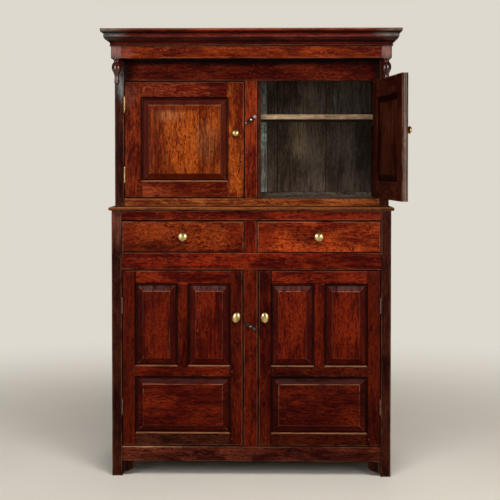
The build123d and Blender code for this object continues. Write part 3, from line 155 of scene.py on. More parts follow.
class CupboardSurface(bpy.types.PropertyGroup):
    """How the wood is worn."""

    edge_round: length("Edge rounding", "Width of the worn edge of every board", 0.9)
    crook: length("Crookedness", "How far a board strays from dead straight", 0.35)
    crook_span: length("Crook span", "Length over which a board strays", 170.0)
    survey: length("Survey step", "Greatest length of a board between two rows of points", 45.0)
    bump: length("Grain depth", "Depth of the open grain", 0.5)


class CupboardMetal(bpy.types.PropertyGroup):
    """Brass, iron and nails."""

    brass: stain("Brass", "Clean brass", 204, 176, 120)
    tarnish: stain("Tarnish", "Brass where it has gone brown", 96, 74, 36)
    iron: stain("Iron", "Forged iron", 44, 36, 34)
    old_iron: stain("Old iron", "Worn iron of the lower hinges", 112, 86, 78)
    # steel is also the colour of the painted highlights on the turn buttons
    steel: stain("Steel", "Screw heads and rubbed iron", 190, 182, 176)
    screw_size: length("Screw head", "Width of a hinge screw's head", 5.6)
    nail_size: length("Nail head", "Width of a nail's head", 9.0)
    nail_spacing: length("Nail spacing", "Distance between the nails of a row", 150.0)
    nail_seed: IntProperty(name="Nail seed", description="Picks how the nail heads are turned", default=7)


class CupboardStage(bpy.types.PropertyGroup):
    """Floor, lights and camera."""

    lens: FloatProperty(name="Lens", description="Focal length of the camera", unit="CAMERA", default=86.4)
    tilt: angle_setting("Tilt", "How far the camera looks down", 1.783)
    turn: angle_setting("Turn", "How far the camera looks to the left", 1.156)
    frame_rise: FloatProperty(name="Frame rise", description="Vertical shift of the frame", default=-0.104)
    floor_colour: stain("Floor", "Plain pale floor", 236, 230, 220)
    backdrop: stain("Backdrop", "Plain pale background", 222, 216, 206)
    room_light: plain_setting("Room light", "Strength of the light from all round", 0.2)
    gloss_light: plain_setting("Gloss light", "How bright the background looks in polished surfaces", 0.17)
    sky_power: power_setting("Sky power", "Soft light from above the front", 105.0)
    side_power: power_setting("Side power", "Two tall soft lights in front, left and right", 35.0)
    back_power: power_setting("Back power", "A soft light behind", 45.0)
    shine_power: power_setting("Shine power", "Two lights that show only in polished wood and metal", 60.0)


def settings(group):
    """One of the scene's groups of settings."""
    return getattr(bpy.context.scene, group)


def put(name, data):
    """A mesh, lamp or camera as an object in the scene."""
    held = bpy.data.objects.new(name, data)
    bpy.context.scene.collection.objects.link(held)
    return held


# ---------------------------------------------------------------- shader maths
class Wire:
    """A socket in a node tree. Arithmetic on a value adds Math nodes, and on a vector or colour Vector Math nodes."""

    def __init__(self, paint, socket):
        self.paint = paint
        self.socket = socket

    def reckon(self, operation, *terms):
        """The result of a Math or Vector Math node on these terms."""
        if any(isinstance(t, tuple) or (isinstance(t, Wire) and t.socket.type != "VALUE") for t in terms):
            terms = [t if isinstance(t, (tuple, Wire)) else (t, t, t) for t in terms]
            return self.paint.node("ShaderNodeVectorMath", {"operation": operation}, dict(enumerate(terms)))
        return self.paint.node("ShaderNodeMath", {"operation": operation}, dict(enumerate(terms)))

    def __add__(self, other):
        return self.reckon("ADD", self, other)

    __radd__ = __add__

    def __sub__(self, other):
        return self.reckon("SUBTRACT", self, other)

    def __rsub__(self, other):
        return self.reckon("SUBTRACT", other, self)

    def __mul__(self, other):
        return self.reckon("MULTIPLY", self, other)

    __rmul__ = __mul__

    def __truediv__(self, other):
        return self.reckon("DIVIDE", self, other)

    def __rtruediv__(self, other):
        return self.reckon("DIVIDE", other, self)

    def low(self, other):
        """The lower of two."""
        return self.reckon("MINIMUM", self, other)

    def high(self, other):
        """The higher of two."""
        return self.reckon("MAXIMUM", self, other)

    def size(self):
        """A value without its sign."""
        return self.reckon("ABSOLUTE", self)

    def length(self):
        """How long a vector is."""
        return self.paint.node("ShaderNodeVectorMath", {"operation": "LENGTH"}, {0: self}, "Value")

    def split(self):
        """The three numbers of a vector."""
        parts = self.paint.node("ShaderNodeSeparateXYZ", {}, {0: self}).socket.node
        return [Wire(self.paint, socket) for socket in parts.outputs]

    def ease(self, start, end):
        """0 before start and 1 past end, with a smooth step between."""
        return self.paint.node("ShaderNodeMapRange", {"interpolation_type": "SMOOTHSTEP"},
                               {"Value": self, "From Min": start, "From Max": end})


class Tree:
    """A node tree, and what it is made from."""

    def __init__(self, tree):
        self.tree = tree
        tree.nodes.clear()

    def node(self, kind, how=None, sockets=None, output=0):
        """A new node: its settings first, then the values or links of its sockets."""
        made = self.tree.nodes.new(kind)
        for name, value in (how or {}).items():
            setattr(made, name, value)
        for name, value in (sockets or {}).items():
            if isinstance(value, Wire):
                self.tree.links.new(value.socket, made.inputs[name])
            else:
                made.inputs[name].default_value = value
        return Wire(self, made.outputs[output])

    def end(self, kind, result, socket="Surface"):
        """Leads the last node to the tree's output."""
        self.tree.links.new(result.socket, self.tree.nodes.new(kind).inputs[socket])

    def vector(self, x, y, z):
        return self.node("ShaderNodeCombineXYZ", {}, {0: x, 1: y, 2: z})

    def ray(self, kind):
        """1 for light rays of one kind, and 0 for the rest."""
        return self.node("ShaderNodeLightPath", {}, {}, f"Is {kind} Ray")


class Paint(Tree):
    """A material, and what it is made from."""

    def __init__(self, name):
        self.material = bpy.data.materials.new(name)
        self.material.use_nodes = True
        super().__init__(self.material.node_tree)

    def attribute(self, name, output="Vector"):
        return self.node("ShaderNodeAttribute", {"attribute_name": name}, {}, output)

    def place(self):
        """Where a point lies on the whole cupboard."""
        return self.node("ShaderNodeTexCoord", {}, {}, "Object")

    def clouds(self, place, detail=2.0, roughness=0.5, warp=0.0):
        """Even noise from 0 to 1 about one half, on a place already scaled."""
        return self.node("ShaderNodeTexNoise", {"noise_dimensions": "3D"}, {
            "Vector": place, "Scale": 1.0, "Detail": detail, "Roughness": roughness, "Distortion": warp})

    def bands(self, place, detail, roughness):
        """Noise along one number."""
        return self.node("ShaderNodeTexNoise", {"noise_dimensions": "1D"}, {
            "W": place, "Scale": 1.0, "Detail": detail, "Roughness": roughness})

    def blend(self, factor, first, second):
        """Two colours mixed."""
        first, second = (c if isinstance(c, Wire) else (*c, 1.0) for c in (first, second))
        return self.node("ShaderNodeMix", {"data_type": "RGBA", "blend_type": "MIX", "clamp_factor": True},
                         {0: factor, 6: first, 7: second}, 2)

    def finish(self, colour, roughness, height, depth, fixed):
        """The shader at the end, with its bump and what is the same all over it."""
        bump = self.node("ShaderNodeBump", {}, {"Height": height, "Distance": depth, "Strength": 1.0})
        self.end("ShaderNodeOutputMaterial", self.node("ShaderNodeBsdfPrincipled", {}, {
            "Base Color": colour, "Roughness": roughness, "Normal": bump, **fixed}))
        return self.material


MATERIALS = {}
BODY_BOXES = {}


# ---------------------------------------------------------------- finishes
# What a part of the figure makes of the board's own colour, where the wood is stained and where it is dry
DARK_GRAIN = ((0.42, 0.20, 0.26), (0.42, 0.37, 0.37))
PALE_GRAIN = ((2.00, 2.35, 2.10), (1.74, 1.57, 1.56))
GLOW = ((2.1, 3.4, 1.9), (1.7, 1.5, 1.35))
RAYS = ((3.0, 4.2, 3.8), (1.8, 1.75, 1.7))


def oak(name, wear=0.6, top_sheen=0.3, dust=0.0, gloss=0.36, fleck=0.3, burr=0.0, curl=0.35, contrast=1.0, panel=False,
        sheen=0.03, relief=0.6, edge_shade=0.85, line=3.2, shade=0.6, underside_shade=0.0, ruddy=1.0, edge_sheen=0.0, silk=0.0,
        matt_above=0.0, marks=()):
    """Stained oak. The board's attributes are near and far, a point's distances from its low and high corners along
    the grain, across it and through the board; stain, its own colour and a number of its own from 0 to 1; and joined,
    how much of its low and high sides meet another board. Noise has so many steps a metre, in the same three
    directions. wear is how worn the edges are, top_sheen how much painted sheen lies on a bevel that faces up, fleck,
    curl and burr how much of each the figure has, and silk how pale and few its curls are. edge_shade is how much
    painted shade darkens the free edges beside the gaps, line how many millimetres in the wax has worn pale, shade
    how much painted shade darkens a bevel, underside_shade how much painted shade darkens what faces down, and ruddy
    how red the stain is. edge_sheen paints a grey sheen in a strip down a door's free edge, and above matt_above the
    wax is duller.
    """
    stains, surface = settings("cupboard_stains"), settings("cupboard_surface")
    paint = Paint(name)
    near, far, joined = paint.attribute("near"), paint.attribute("far"), paint.attribute("joined")
    tone, own = paint.attribute("stain", "Color"), paint.attribute("stain", "Alpha")
    middle = (near - far) * 0.5
    along, across, through = middle.split()
    grain = middle + paint.vector(own * 17.0, own * 31.0, own * 23.0)
    up = paint.node("ShaderNodeNewGeometry", {}, {}, "Normal").split()[2]
    spot = paint.place()

    # the rings round the tree's heart, which lies behind the board and wanders along it
    wander = paint.clouds(grain * (1.6, 6.0, 6.0), 2.0)
    heart = paint.vector(across - (own - 0.5) * 0.16, through + 0.05 + own * 0.08 + (wander - 0.5) * 0.12, 0.0)
    bent = (paint.clouds(grain * (5.0, 22.0, 22.0), 3.0) - 0.5) * 0.014
    radius = heart.length() + bent + along * (own - 0.5) * 0.03
    rings = paint.bands(radius * 135.0 + own * 50.0, 3.0, 0.62)
    streak = paint.clouds(grain * (13.0, 150.0, 150.0), 4.0, 0.68)
    speck = paint.clouds(grain * (58.0, 250.0, 250.0), 2.0, 0.7)
    patch = paint.clouds(grain * (4.0, 11.0, 11.0), 3.0, 0.6)
    pores = paint.clouds(grain * (55.0, 620.0, 620.0), 1.0).ease(0.56, 0.66)
    figure = (rings - 0.5) * 0.8 + (streak - 0.5) * 2.2 + (speck - 0.5) * 1.4 + (patch - 0.5) * 1.6
    if burr:
        swirl = paint.clouds(grain * (34.0, 62.0, 62.0), 4.0, 0.66, 1.8)
        figure = figure * (1 - burr * 0.35) + (swirl - 0.5) * 3.4 * burr
    figure = figure * contrast + 0.28

    def shade_of(shares):
        """The board's own colour as a part of the figure has it, between stained and dry."""
        return tone * tuple(r * ruddy + d * (1 - ruddy) for r, d in zip(*shares))

    def drawn(stain_name, low, high):
        """A stain that follows the figure."""
        return paint.blend(figure, *(tuple(k * c for c in getattr(stains, stain_name)) for k in (low, high)))

    colour = paint.blend(figure, shade_of(DARK_GRAIN), shade_of(PALE_GRAIN))
    glow = paint.clouds(grain * (15.0, 48.0, 48.0), 3.0, 0.62, 0.6).ease(0.52, 0.68)
    colour = paint.blend(glow * 0.45, colour, shade_of(GLOW))
    colour = paint.blend(pores * 0.3, colour, tone * (0.22, 0.14, 0.16))

    # thin pale curls where the grain turns, and silky flecks where a board is cut along the rays
    coil = paint.clouds(grain * (20.0 + 22.0 * burr, 56.0, 56.0), 3.0, 0.6, 1.6)
    coil = (1 - (coil - 0.5).size() * 2.0).ease(0.87, 0.98) * patch.ease(0.42 + silk * 0.08, 0.58 + silk * 0.06)
    curl_pale = (0.02 + silk * 0.12, 0.007 + silk * 0.06, 0.001 + silk * 0.03)
    colour = paint.blend(coil * curl, colour, tone * (3.4, 5.0, 4.2) + curl_pale)
    if fleck:
        ray_place = paint.vector(*[a + b for a, b in zip((grain * (50.0, 150.0, 150.0)).split(),
                                                         (wander * 3.0, along * 40.0, 0.0))])
        rays = paint.clouds(ray_place, 2.0, 0.5, 1.2).ease(0.56, 0.64)
        rays = rays * paint.clouds(grain * (6.0, 14.0, 14.0), 2.0).ease(0.42, 0.58)
        colour = paint.blend(rays * fleck, colour, shade_of(RAYS) + (0.016, 0.008, 0.004))

    # how near a point is to the board's edges: edge to any, and rim to those on the outside of a door or drawer
    reach_x, reach_y, reach_z = near.low(far).split()
    low_joined, high_joined, _none = joined.split()
    open_y = (near.split()[1] + low_joined).low(far.split()[1] + high_joined)
    edge = reach_x.low(reach_y).high(reach_x.high(reach_y).low(reach_z))
    rim = reach_x.low(open_y).high(reach_x.high(open_y).low(reach_z))
    rub = paint.clouds(grain * (11.0, 70.0, 70.0), 4.0, 0.65)
    film = paint.clouds(grain * (4.0, 7.0, 7.0), 4.0, 0.6).ease(0.50, 0.72)
    if marks:
        spot_x, _spot_y, spot_z = spot.split()
        ragged = (rub - 0.5) * 0.9
        for x, z, wide, tall, colour_name, strength in marks:
            off = paint.vector((spot_x - x) * (1 / wide), (spot_z - z) * (1 / tall), 0.0).length() + ragged
            colour = paint.blend(off.ease(1.1, 0.3) * strength, colour, drawn(colour_name, 0.45, 1.5))
    if panel:
        margin = reach_x.low(reach_y)
        bevel = margin.ease(FIELD_EDGE + 1.0 * MM, FIELD_EDGE - 0.5 * MM)
        corner = (reach_x - reach_y).size().ease(1.6 * MM, 0.3 * MM) * bevel
        arris = (margin - FIELD_EDGE + 0.8 * MM).size().ease(1.8 * MM, 0.5 * MM)
        recess = margin.ease(GROOVE_TONGUE + 7.0 * MM, GROOVE_TONGUE + 2.0 * MM)
        colour = paint.blend(bevel * shade, colour, tone * (0.33, 0.16, 0.24))
        # painted sheen on the bevels that face up, where light from above falls
        top_bevel_sheen = bevel * up.ease(0.10, 0.24) * top_sheen * rub.ease(0.30, 0.66)
        colour = paint.blend(top_bevel_sheen, colour, paint.blend(0.35, stains.top_sheen, colour))
        # the pale line along the field's arris is wear, painted brighter as a highlight where it faces up
        lit = up.ease(0.02, 0.12) * 0.75 + 0.25
        colour = paint.blend(arris * lit * wear * rub.ease(0.34, 0.60), colour, stains.worn_edge)
        colour = paint.blend(corner * wear * rub.ease(0.44, 0.60) * 0.5, colour, stains.worn_edge)
        # painted shade in the groove round the panel, where the frame's shadow falls
        colour = paint.blend(recess * 0.94, colour, stains.grime_and_shade)
    else:
        # the moulding along a board's edge: painted shade where it faces sideways or down, and where it faces up a
        # painted highlight mixed with wear
        mould = (reach_z.ease(0.5 * MM, 1.4 * MM) * reach_y.ease(0.3 * MM, 1.2 * MM)
                 * reach_y.ease(BEAD_WIDTH, BEAD_WIDTH - 1.0 * MM))
        lit_from_above = up.ease(0.12, 0.45)
        colour = paint.blend(mould * (1 - lit_from_above) * 0.85, colour, tone * (0.16, 0.12, 0.14))
        colour = paint.blend(mould * lit_from_above * wear * (rub.ease(0.3, 0.55) * 0.65 + 0.3), colour, stains.worn_edge)
    # painted shade on what faces down
    if underside_shade:
        colour = paint.blend(up.ease(-0.10, -0.60) * underside_shade, colour, stains.grime_and_shade)
    worn = (rim - line * MM).size().ease(WORN_WIDTH, 0.5 * MM) * rub.ease(0.40, 0.55)
    colour = paint.blend(worn * wear * 0.55, colour, paint.blend(0.6, tone * (2.2, 2.4, 2.6), stains.worn_edge))
    # painted shade along the free edges, beside the gaps
    colour = paint.blend(rim.ease(2.6 * MM, 1.0 * MM) * edge_shade, colour, stains.grime_and_shade)
    colour = paint.blend(edge.ease(1.2 * MM, 0.4 * MM) * 0.6, colour, stains.grime_and_shade)
    # a painted grey sheen in a strip down the open door's free edge
    if edge_sheen:
        depth = far.split()[2]
        inner = open_y.ease(1.6 * MM, 0.6 * MM) * depth.ease(7.5 * MM, 9.0 * MM) * depth.ease(17.5 * MM, 16.0 * MM)
        colour = paint.blend(inner * edge_sheen, colour, drawn("film", 0.7, 1.5))
    if dust:
        colour = paint.blend((film * 0.5 + 0.35) * dust, colour, stains.pale_board)
    rough = gloss + (1 - figure) * 0.10 + worn * 0.12 + film * 0.08 + dust * 0.25
    if matt_above:
        rough = rough + spot.split()[2].ease(matt_above - 2 * MM, matt_above + 2 * MM) * 0.26
    height = figure * 0.35 - pores * 0.6 + rub * 0.3
    return paint.finish(colour, rough, height, surface.bump * relief, {"Specular IOR Level": sheen})


def low_down(place):
    """1 in the lower cupboard and 0 in the upper one."""
    return place.split()[2].ease(IRON_HINGE_TOP, IRON_HINGE_TOP - 0.1)


def brass(name):
    """Worn brass, bright where it is handled and brown in the hollows. A hinge low down is nearly iron grey."""
    metal = settings("cupboard_metal")
    paint = Paint(name)
    place = paint.place()
    cloud = paint.clouds(place * 55.0, 4.0, 0.6)
    fine = paint.clouds(place * 420.0, 2.0)
    dull = cloud.ease(0.46, 0.70)
    colour = paint.blend(dull * 0.8, metal.brass, metal.tarnish)
    if name == "hinge_brass":
        colour = paint.blend(0.5, colour, metal.tarnish)
        colour = paint.blend(low_down(place), colour, paint.blend(dull, metal.old_iron, metal.iron))
    return paint.finish(colour, 0.32 + dull * 0.2 + (fine - 0.5) * 0.1, cloud + fine * 0.3, 0.3 * MM,
                        {"Metallic": 1.0})


def dark_metal(name, colour_name, gloss, marks=()):
    """Forged iron or a steel screw, with a little rust. marks are painted highlights, in the colour of steel."""
    metal = settings("cupboard_metal")
    paint = Paint(name)
    place = paint.place()
    cloud = paint.clouds(place * 90.0, 4.0, 0.62)
    rust = cloud.ease(0.52, 0.70)
    colour = paint.blend(rust * 0.5, getattr(metal, colour_name), metal.tarnish)
    if colour_name == "steel":
        colour = paint.blend(low_down(place) * 0.85, colour, metal.old_iron)
    place_x, _place_y, place_z = place.split()
    # painted highlights, in the colour of steel
    for x, z, reach, strength in marks:
        off = paint.vector(place_x - x, place_z - z, 0.0).length()
        colour = paint.blend(off.ease(reach * 1.15, reach * 0.85) * strength, colour, metal.steel)
    return paint.finish(colour, gloss + rust * 0.3, cloud, 0.4 * MM, {"Metallic": 0.85})


UNWAXED = {"dust": 0.2, "wear": 0.3, "gloss": 0.62, "sheen": 0.1, "relief": 0.9, "curl": 0.1, "ruddy": 0.0,
           "fleck": 0.2}
# Each mark is at x and z, with half its width and half its height, in metres, its stain and its strength
# Some marks paint light and shade, as said beside them
OAKS = {
    # frame_oak's first mark is a painted bluish sheen at the top of the upper case's left stile
    "frame_oak": {"fleck": 0.25, "contrast": 1.3, "marks": ((-0.527, 1.552, 0.022, 0.075, "weathered", 0.9),
                                                            (-0.531, 0.985, 0.040, 0.110, "rose", 0.4))},
    "side_oak": {"fleck": 0.25, "contrast": 1.2, "ruddy": 0.1},
    "open_door_oak": {"fleck": 0.25, "contrast": 1.2, "wear": 0.9, "edge_sheen": 0.95},
    "rail_oak": {"fleck": 0.6, "contrast": 1.3, "curl": 0.6, "marks": ((0.150, 0.102, 0.012, 0.008, "grime_and_shade", 0.9),
                                                                      (-0.400, 0.116, 0.2, 0.003, "worn_edge", 0.9),
                                                                      (-0.492, 1.515, 0.04, 0.06, "rose", 0.45))},
    "flecked_oak": {"fleck": 0.3, "contrast": 1.1, "curl": 0.45, "silk": 0.8},
    "top_rail_oak": {"fleck": 0.5, "contrast": 1.1, "curl": 0.4, "ruddy": 0.95, "silk": 0.5,
                     # painted shadow of the canopy across the top of the upper rail and beside the pendants
                     "marks": ((0.0, 1.655, 2.2, 0.030, "grime_and_shade", 0.95), (-0.530, 1.62, 0.075, 0.080, "grime_and_shade", 0.9),
                               (0.530, 1.62, 0.060, 0.080, "grime_and_shade", 0.8))},
    "frieze_oak": {"fleck": 0.5, "wear": 0.8, "edge_shade": 0.15, "curl": 0.5,
                   "marks": ((-0.500, 1.672, 0.050, 0.030, "rose", 0.5),)},
    "panel_oak": {"panel": True, "top_sheen": 0.4, "contrast": 1.1, "curl": 0.45},
    "low_panel_oak": {"panel": True, "top_sheen": 0.15, "contrast": 1.15, "curl": 0.5},
    "shaded_panel_oak": {"panel": True, "wear": 0.5, "top_sheen": 0.06, "contrast": 1.2, "curl": 0.6, "shade": 0.9,
                         "marks": ((-0.162, 1.287, 0.011, 0.009, "grime_and_shade", 0.9),
                                   # painted highlight: a pale sheen on the field
                                   (-0.335, 1.435, 0.070, 0.034, "rubbed", 0.5),
                                   (-0.180, 1.330, 0.060, 0.110, "rubbed", 0.3),
                                   (-0.405, 1.330, 0.060, 0.160, "red_oak", 0.4),
                                   # painted shade: the canopy's shadow along the top bevel, and shade across the top
                                   # of the field
                                   (-0.300, 1.488, 0.300, 0.018, "grime_and_shade", 0.7),
                                   (-0.320, 1.462, 0.260, 0.020, "oxblood", 0.65))},
    "figured_oak": {"burr": 0.6, "wear": 1.5, "curl": 0.9, "contrast": 1.4, "edge_shade": 0.35, "line": 1.6,
                    "marks": ((0.045, 0.951, 0.085, 0.090, "oxblood", 0.75),
                              (0.225, 0.932, 0.040, 0.030, "umber", 0.5),
                              (-0.490, 0.951, 0.040, 0.080, "oxblood", 0.6),
                              (-0.062, 0.951, 0.050, 0.080, "oxblood", 0.65),
                              (0.345, 0.951, 0.060, 0.045, "chestnut", 0.4),
                              (0.150, 0.955, 0.040, 0.040, "chestnut", 0.3),
                              (-0.390, 0.958, 0.050, 0.035, "chestnut", 0.35))},
    "ledge_oak": {"wear": 0.55, "contrast": 1.2, "ruddy": 0.8, "underside_shade": 0.9},
    "cornice_oak": {"wear": 0.5, "underside_shade": 0.8, "contrast": 1.2,
                    # painted highlights: a bluish sheen at both ends of the cornice, and two pale lines of light
                    # along its members
                    "marks": ((-0.575, 1.745, 0.105, 0.030, "weathered", 0.75),
                              (0.560, 1.745, 0.090, 0.026, "weathered", 0.6),
                              (0.0, 1.7340, 3.0, 0.0075, "top_sheen", 0.16),
                              (0.0, 1.7630, 3.0, 0.0034, "worn_edge", 0.45))},
    "turned_oak": {"wear": 0.0, "fleck": 0.0, "curl": 0.0, "gloss": 0.14, "sheen": 0.6, "relief": 0.1,
                   "matt_above": FRIEZE_FOOT,
                   "marks": ((-0.531, 1.679, 0.034, 0.030, "rose", 0.9), (0.531, 1.679, 0.034, 0.030, "rose", 0.9))},
    "dry_oak": {**UNWAXED, "contrast": 1.7,
                # the first mark is painted light on the top of the upper back boards, which get little light
                "marks": ((0.250, 1.610, 0.450, 0.110, "pale_board", 0.25),
                          (0.196, 1.350, 0.044, 0.150, "pale_board", 0.8),
                          # painted highlight: a bluish streak of sheen on a back board
                          (0.357, 1.530, 0.010, 0.070, "weathered", 0.8),
                          # painted shade low on the right of the upper back
                          (0.490, 1.270, 0.070, 0.200, "grime_and_shade", 0.6))},
    "shelf_oak": {**UNWAXED, "contrast": 1.1, "edge_shade": 0.15, "underside_shade": 0.8},
}
# Painted highlights on the turn buttons, each at x and z with its radius and strength
IRON_HIGHLIGHTS = {"upper_iron": ((0.0135, 1.426, 0.0062, 0.95), (-0.0225, 1.402, 0.0035, 0.6)),
               "lower_iron": ((0.012, 0.587, 0.004, 0.2),), "nail_iron": ()}


def finish_of(name):
    """The material of a finish, made the first time it is asked for."""
    if name not in MATERIALS:
        if name in OAKS:
            MATERIALS[name] = oak(name, **OAKS[name])
        elif name in IRON_HIGHLIGHTS:
            MATERIALS[name] = dark_metal(name, "iron", 0.36, IRON_HIGHLIGHTS[name])
        else:
            MATERIALS[name] = dark_metal(name, "steel", 0.25) if name == "screw_steel" else brass(name)
    return MATERIALS[name]


# ---------------------------------------------------------------- solids of a node
def solids_of(node):
    """Each solid of a CAD node, as its points and its faces. A solid ends where its faces have closed."""
    mesh = frame["nodes"][node].data
    where = [tuple(vertex.co) for vertex in mesh.vertices]
    solids, points, number, faces, open_sides = [], [], {}, [], set()
    for polygon in mesh.polygons:
        corners = [where[i] for i in polygon.vertices]
        for start, stop in zip(corners, corners[1:] + corners[:1]):
            if (stop, start) in open_sides:
                open_sides.discard((stop, start))
            else:
                open_sides.add((start, stop))
            if start not in number:
                number[start] = len(points)
                points.append(start)
        face = [number[corner] for corner in corners]
        if len(set(face)) == len(face):
            faces.append(face)
        if not open_sides:
            solids.append((points, faces))
            points, number, faces = [], {}, []
    if faces:
        solids.append((points, faces))
    return solids


def upright(node):
    """The turn that closes the open upper right door, for what hangs on it."""
    if BODY_OF[node] != "upper_right_door":
        return Matrix.Identity(4)
    joint = JOINTS["upper_right_door_hinge"]
    pin = Matrix.Translation(Vector(joint["pos_m"]))
    turn = Matrix.Rotation(math.radians(joint["range_deg"][0]), 4, Vector(joint["axis"]))
    return pin @ turn @ pin.inverted()


def corners_of(points):
    """Lowest and highest corner of some points."""
    columns = list(zip(*points))
    return Vector([min(c) for c in columns]), Vector([max(c) for c in columns])


def worked(points, faces, edge_round, step, long_axis):
    """A solid with flat faces whole again, its edges rounded, and rows of points along it."""
    bm = bmesh.new()
    made = [bm.verts.new(point) for point in points]
    for face in faces:
        try:
            bm.faces.new([made[i] for i in face])
        except ValueError:
            continue
    bmesh.ops.dissolve_limit(bm, angle_limit=FLAT_ANGLE, verts=bm.verts, edges=bm.edges)
    if edge_round:
        sharp = [edge for edge in bm.edges if edge.is_manifold and edge.is_convex
                 and edge.calc_face_angle() > ROUNDED_ANGLE and edge.calc_length() > SHORTEST_ROUNDED]
        if sharp:
            bmesh.ops.bevel(bm, geom=sharp, offset=edge_round, segments=ROUND_STEPS, profile=ROUND_PROFILE,
                            affect="EDGES", clamp_overlap=True)
    if step:
        low, high = corners_of([v.co for v in bm.verts])
        axis = Vector([1.0 if i == long_axis else 0.0 for i in range(3)])
        reach = high[long_axis] - low[long_axis]
        count = int(reach / step)
        for number in range(1, count + 1):
            place = low + axis * (reach * number / (count + 1))
            bmesh.ops.bisect_plane(bm, geom=bm.verts[:] + bm.edges[:] + bm.faces[:], plane_co=place, plane_no=axis,
                                   dist=SAME_PLACE)
    bm.verts.index_update()
    result = ([v.co.copy() for v in bm.verts], [[v.index for v in f.verts] for f in bm.faces])
    bm.free()
    return result


def sides_joined(node, low, high, axis):
    """0 for a side of a board on the outside of its door or drawer, and 1 for one that meets another board."""
    if BODY_OF[node] == "case":
        return 0.0, 0.0
    body_low, body_high = body_box(BODY_OF[node])
    return float(low[axis] > body_low[axis] + JOIN_REACH), float(high[axis] < body_high[axis] - JOIN_REACH)


def body_box(body):
    """The lowest and highest corners of a door, drawer or button, with the open door closed."""
    if body not in BODY_BOXES:
        points = []
        for node in BODIES[body]:
            close = upright(node)
            points.extend(close @ vertex.co for vertex in frame["nodes"][node].data.vertices)
        BODY_BOXES[body] = corners_of(points)
    return BODY_BOXES[body]


def grain_axes(low, high, grain):
    """The axes along the grain, across the board and through it."""
    size = high - low
    order = sorted(range(3), key=lambda i: -size[i])
    if grain:
        along = "xyz".index(grain)
        order = [along] + [i for i in order if i != along]
    return order


def strayed(point, crook, span):
    """A point moved a little, as old boards lie. Three single noises are the same in every run, which a vector noise
    isn't."""
    if not crook:
        return point
    return point + Vector([noise.noise(point / span + apart) for apart in STRAY_APART]) * crook


def dress(node, finish, stains, grain="", rounding=1.0, crooked=1.0, swell=0.0):
    """A CAD node as its own piece of worn wood: one stain for each solid, from the lowest up and left to right."""
    surface, palette = settings("cupboard_surface"), settings("cupboard_stains")
    close = upright(node)
    stand = close.inverted()
    solids = []
    for points, faces in solids_of(node):
        closed = [close @ Vector(point) for point in points]
        middle = sum(corners_of(closed), Vector()) / 2
        solids.append((round(middle.z, 2), middle.x, middle.y, closed, faces))
    solids.sort(key=lambda solid: solid[:3])
    all_points, all_faces, nears, fars, tones, joins = [], [], [], [], [], []
    for number, (_z, _x, _y, closed, faces) in enumerate(solids):
        name, depth = stains[number % len(stains)]
        base = getattr(palette, name)
        corner = closed[0]
        own = (math.sin(1000 * (corner.x + 2 * corner.y + 3 * corner.z) + len(node)) + 1) / 2
        low, high = corners_of(closed)
        axes = grain_axes(low, high, grain)
        points, made_faces = worked(closed, faces, surface.edge_round * rounding,
                                    surface.survey if crooked else 0.0, axes[0])
        start = len(all_points)
        join = sides_joined(node, low, high, axes[1])
        for point in points:
            point[axes[1]] += math.copysign(swell, point[axes[1]] - (low + high)[axes[1]] / 2)
            nears.extend((point - low)[i] for i in axes)
            fars.extend((high - point)[i] for i in axes)
            tones.extend((*(channel * depth for channel in base), own))
            joins.extend((*join, 0.0))
            all_points.append(strayed(stand @ point, surface.crook * crooked, surface.crook_span))
        all_faces.extend([start + i for i in face] for face in made_faces)
    mesh = bpy.data.meshes.new(node + "_piece")
    mesh.from_pydata(all_points, [], all_faces)
    for label, values in (("near", nears), ("far", fars), ("joined", joins)):
        mesh.attributes.new(label, "FLOAT_VECTOR", "POINT").data.foreach_set("vector", values)
    mesh.attributes.new("stain", "FLOAT_COLOR", "POINT").data.foreach_set("color", tones)
    mesh.materials.append(finish_of(finish))
    return placed(mesh, node, [node])


def placed(mesh, name, nodes=(), body=""):
    """A mesh as a finished piece that stands for some CAD nodes, or rides on a body of its own."""
    mesh.polygons.foreach_set("use_smooth", [True] * len(mesh.polygons))
    mesh.set_sharp_from_angle(angle=SMOOTH_ANGLE)
    mesh.update()
    piece = put(name + "_piece", mesh)
    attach(piece, body or BODY_OF[nodes[0]])
    if nodes:
        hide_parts(*nodes)
    return piece


# ---------------------------------------------------------------- screws and nails
class Pattern(Tree):
    """A Geometry Nodes tree with named inputs."""

    def __init__(self, name, inputs):
        super().__init__(bpy.data.node_groups.new(name, "GeometryNodeTree"))
        self.tree.interface.new_socket("Geometry", in_out="OUTPUT", socket_type="NodeSocketGeometry")
        self.keys = {label: self.tree.interface.new_socket(label, in_out="INPUT", socket_type=kind).identifier
                     for label, kind in inputs}
        given = self.tree.nodes.new("NodeGroupInput")
        self.given = {label: Wire(self, given.outputs[label]) for label in self.keys}


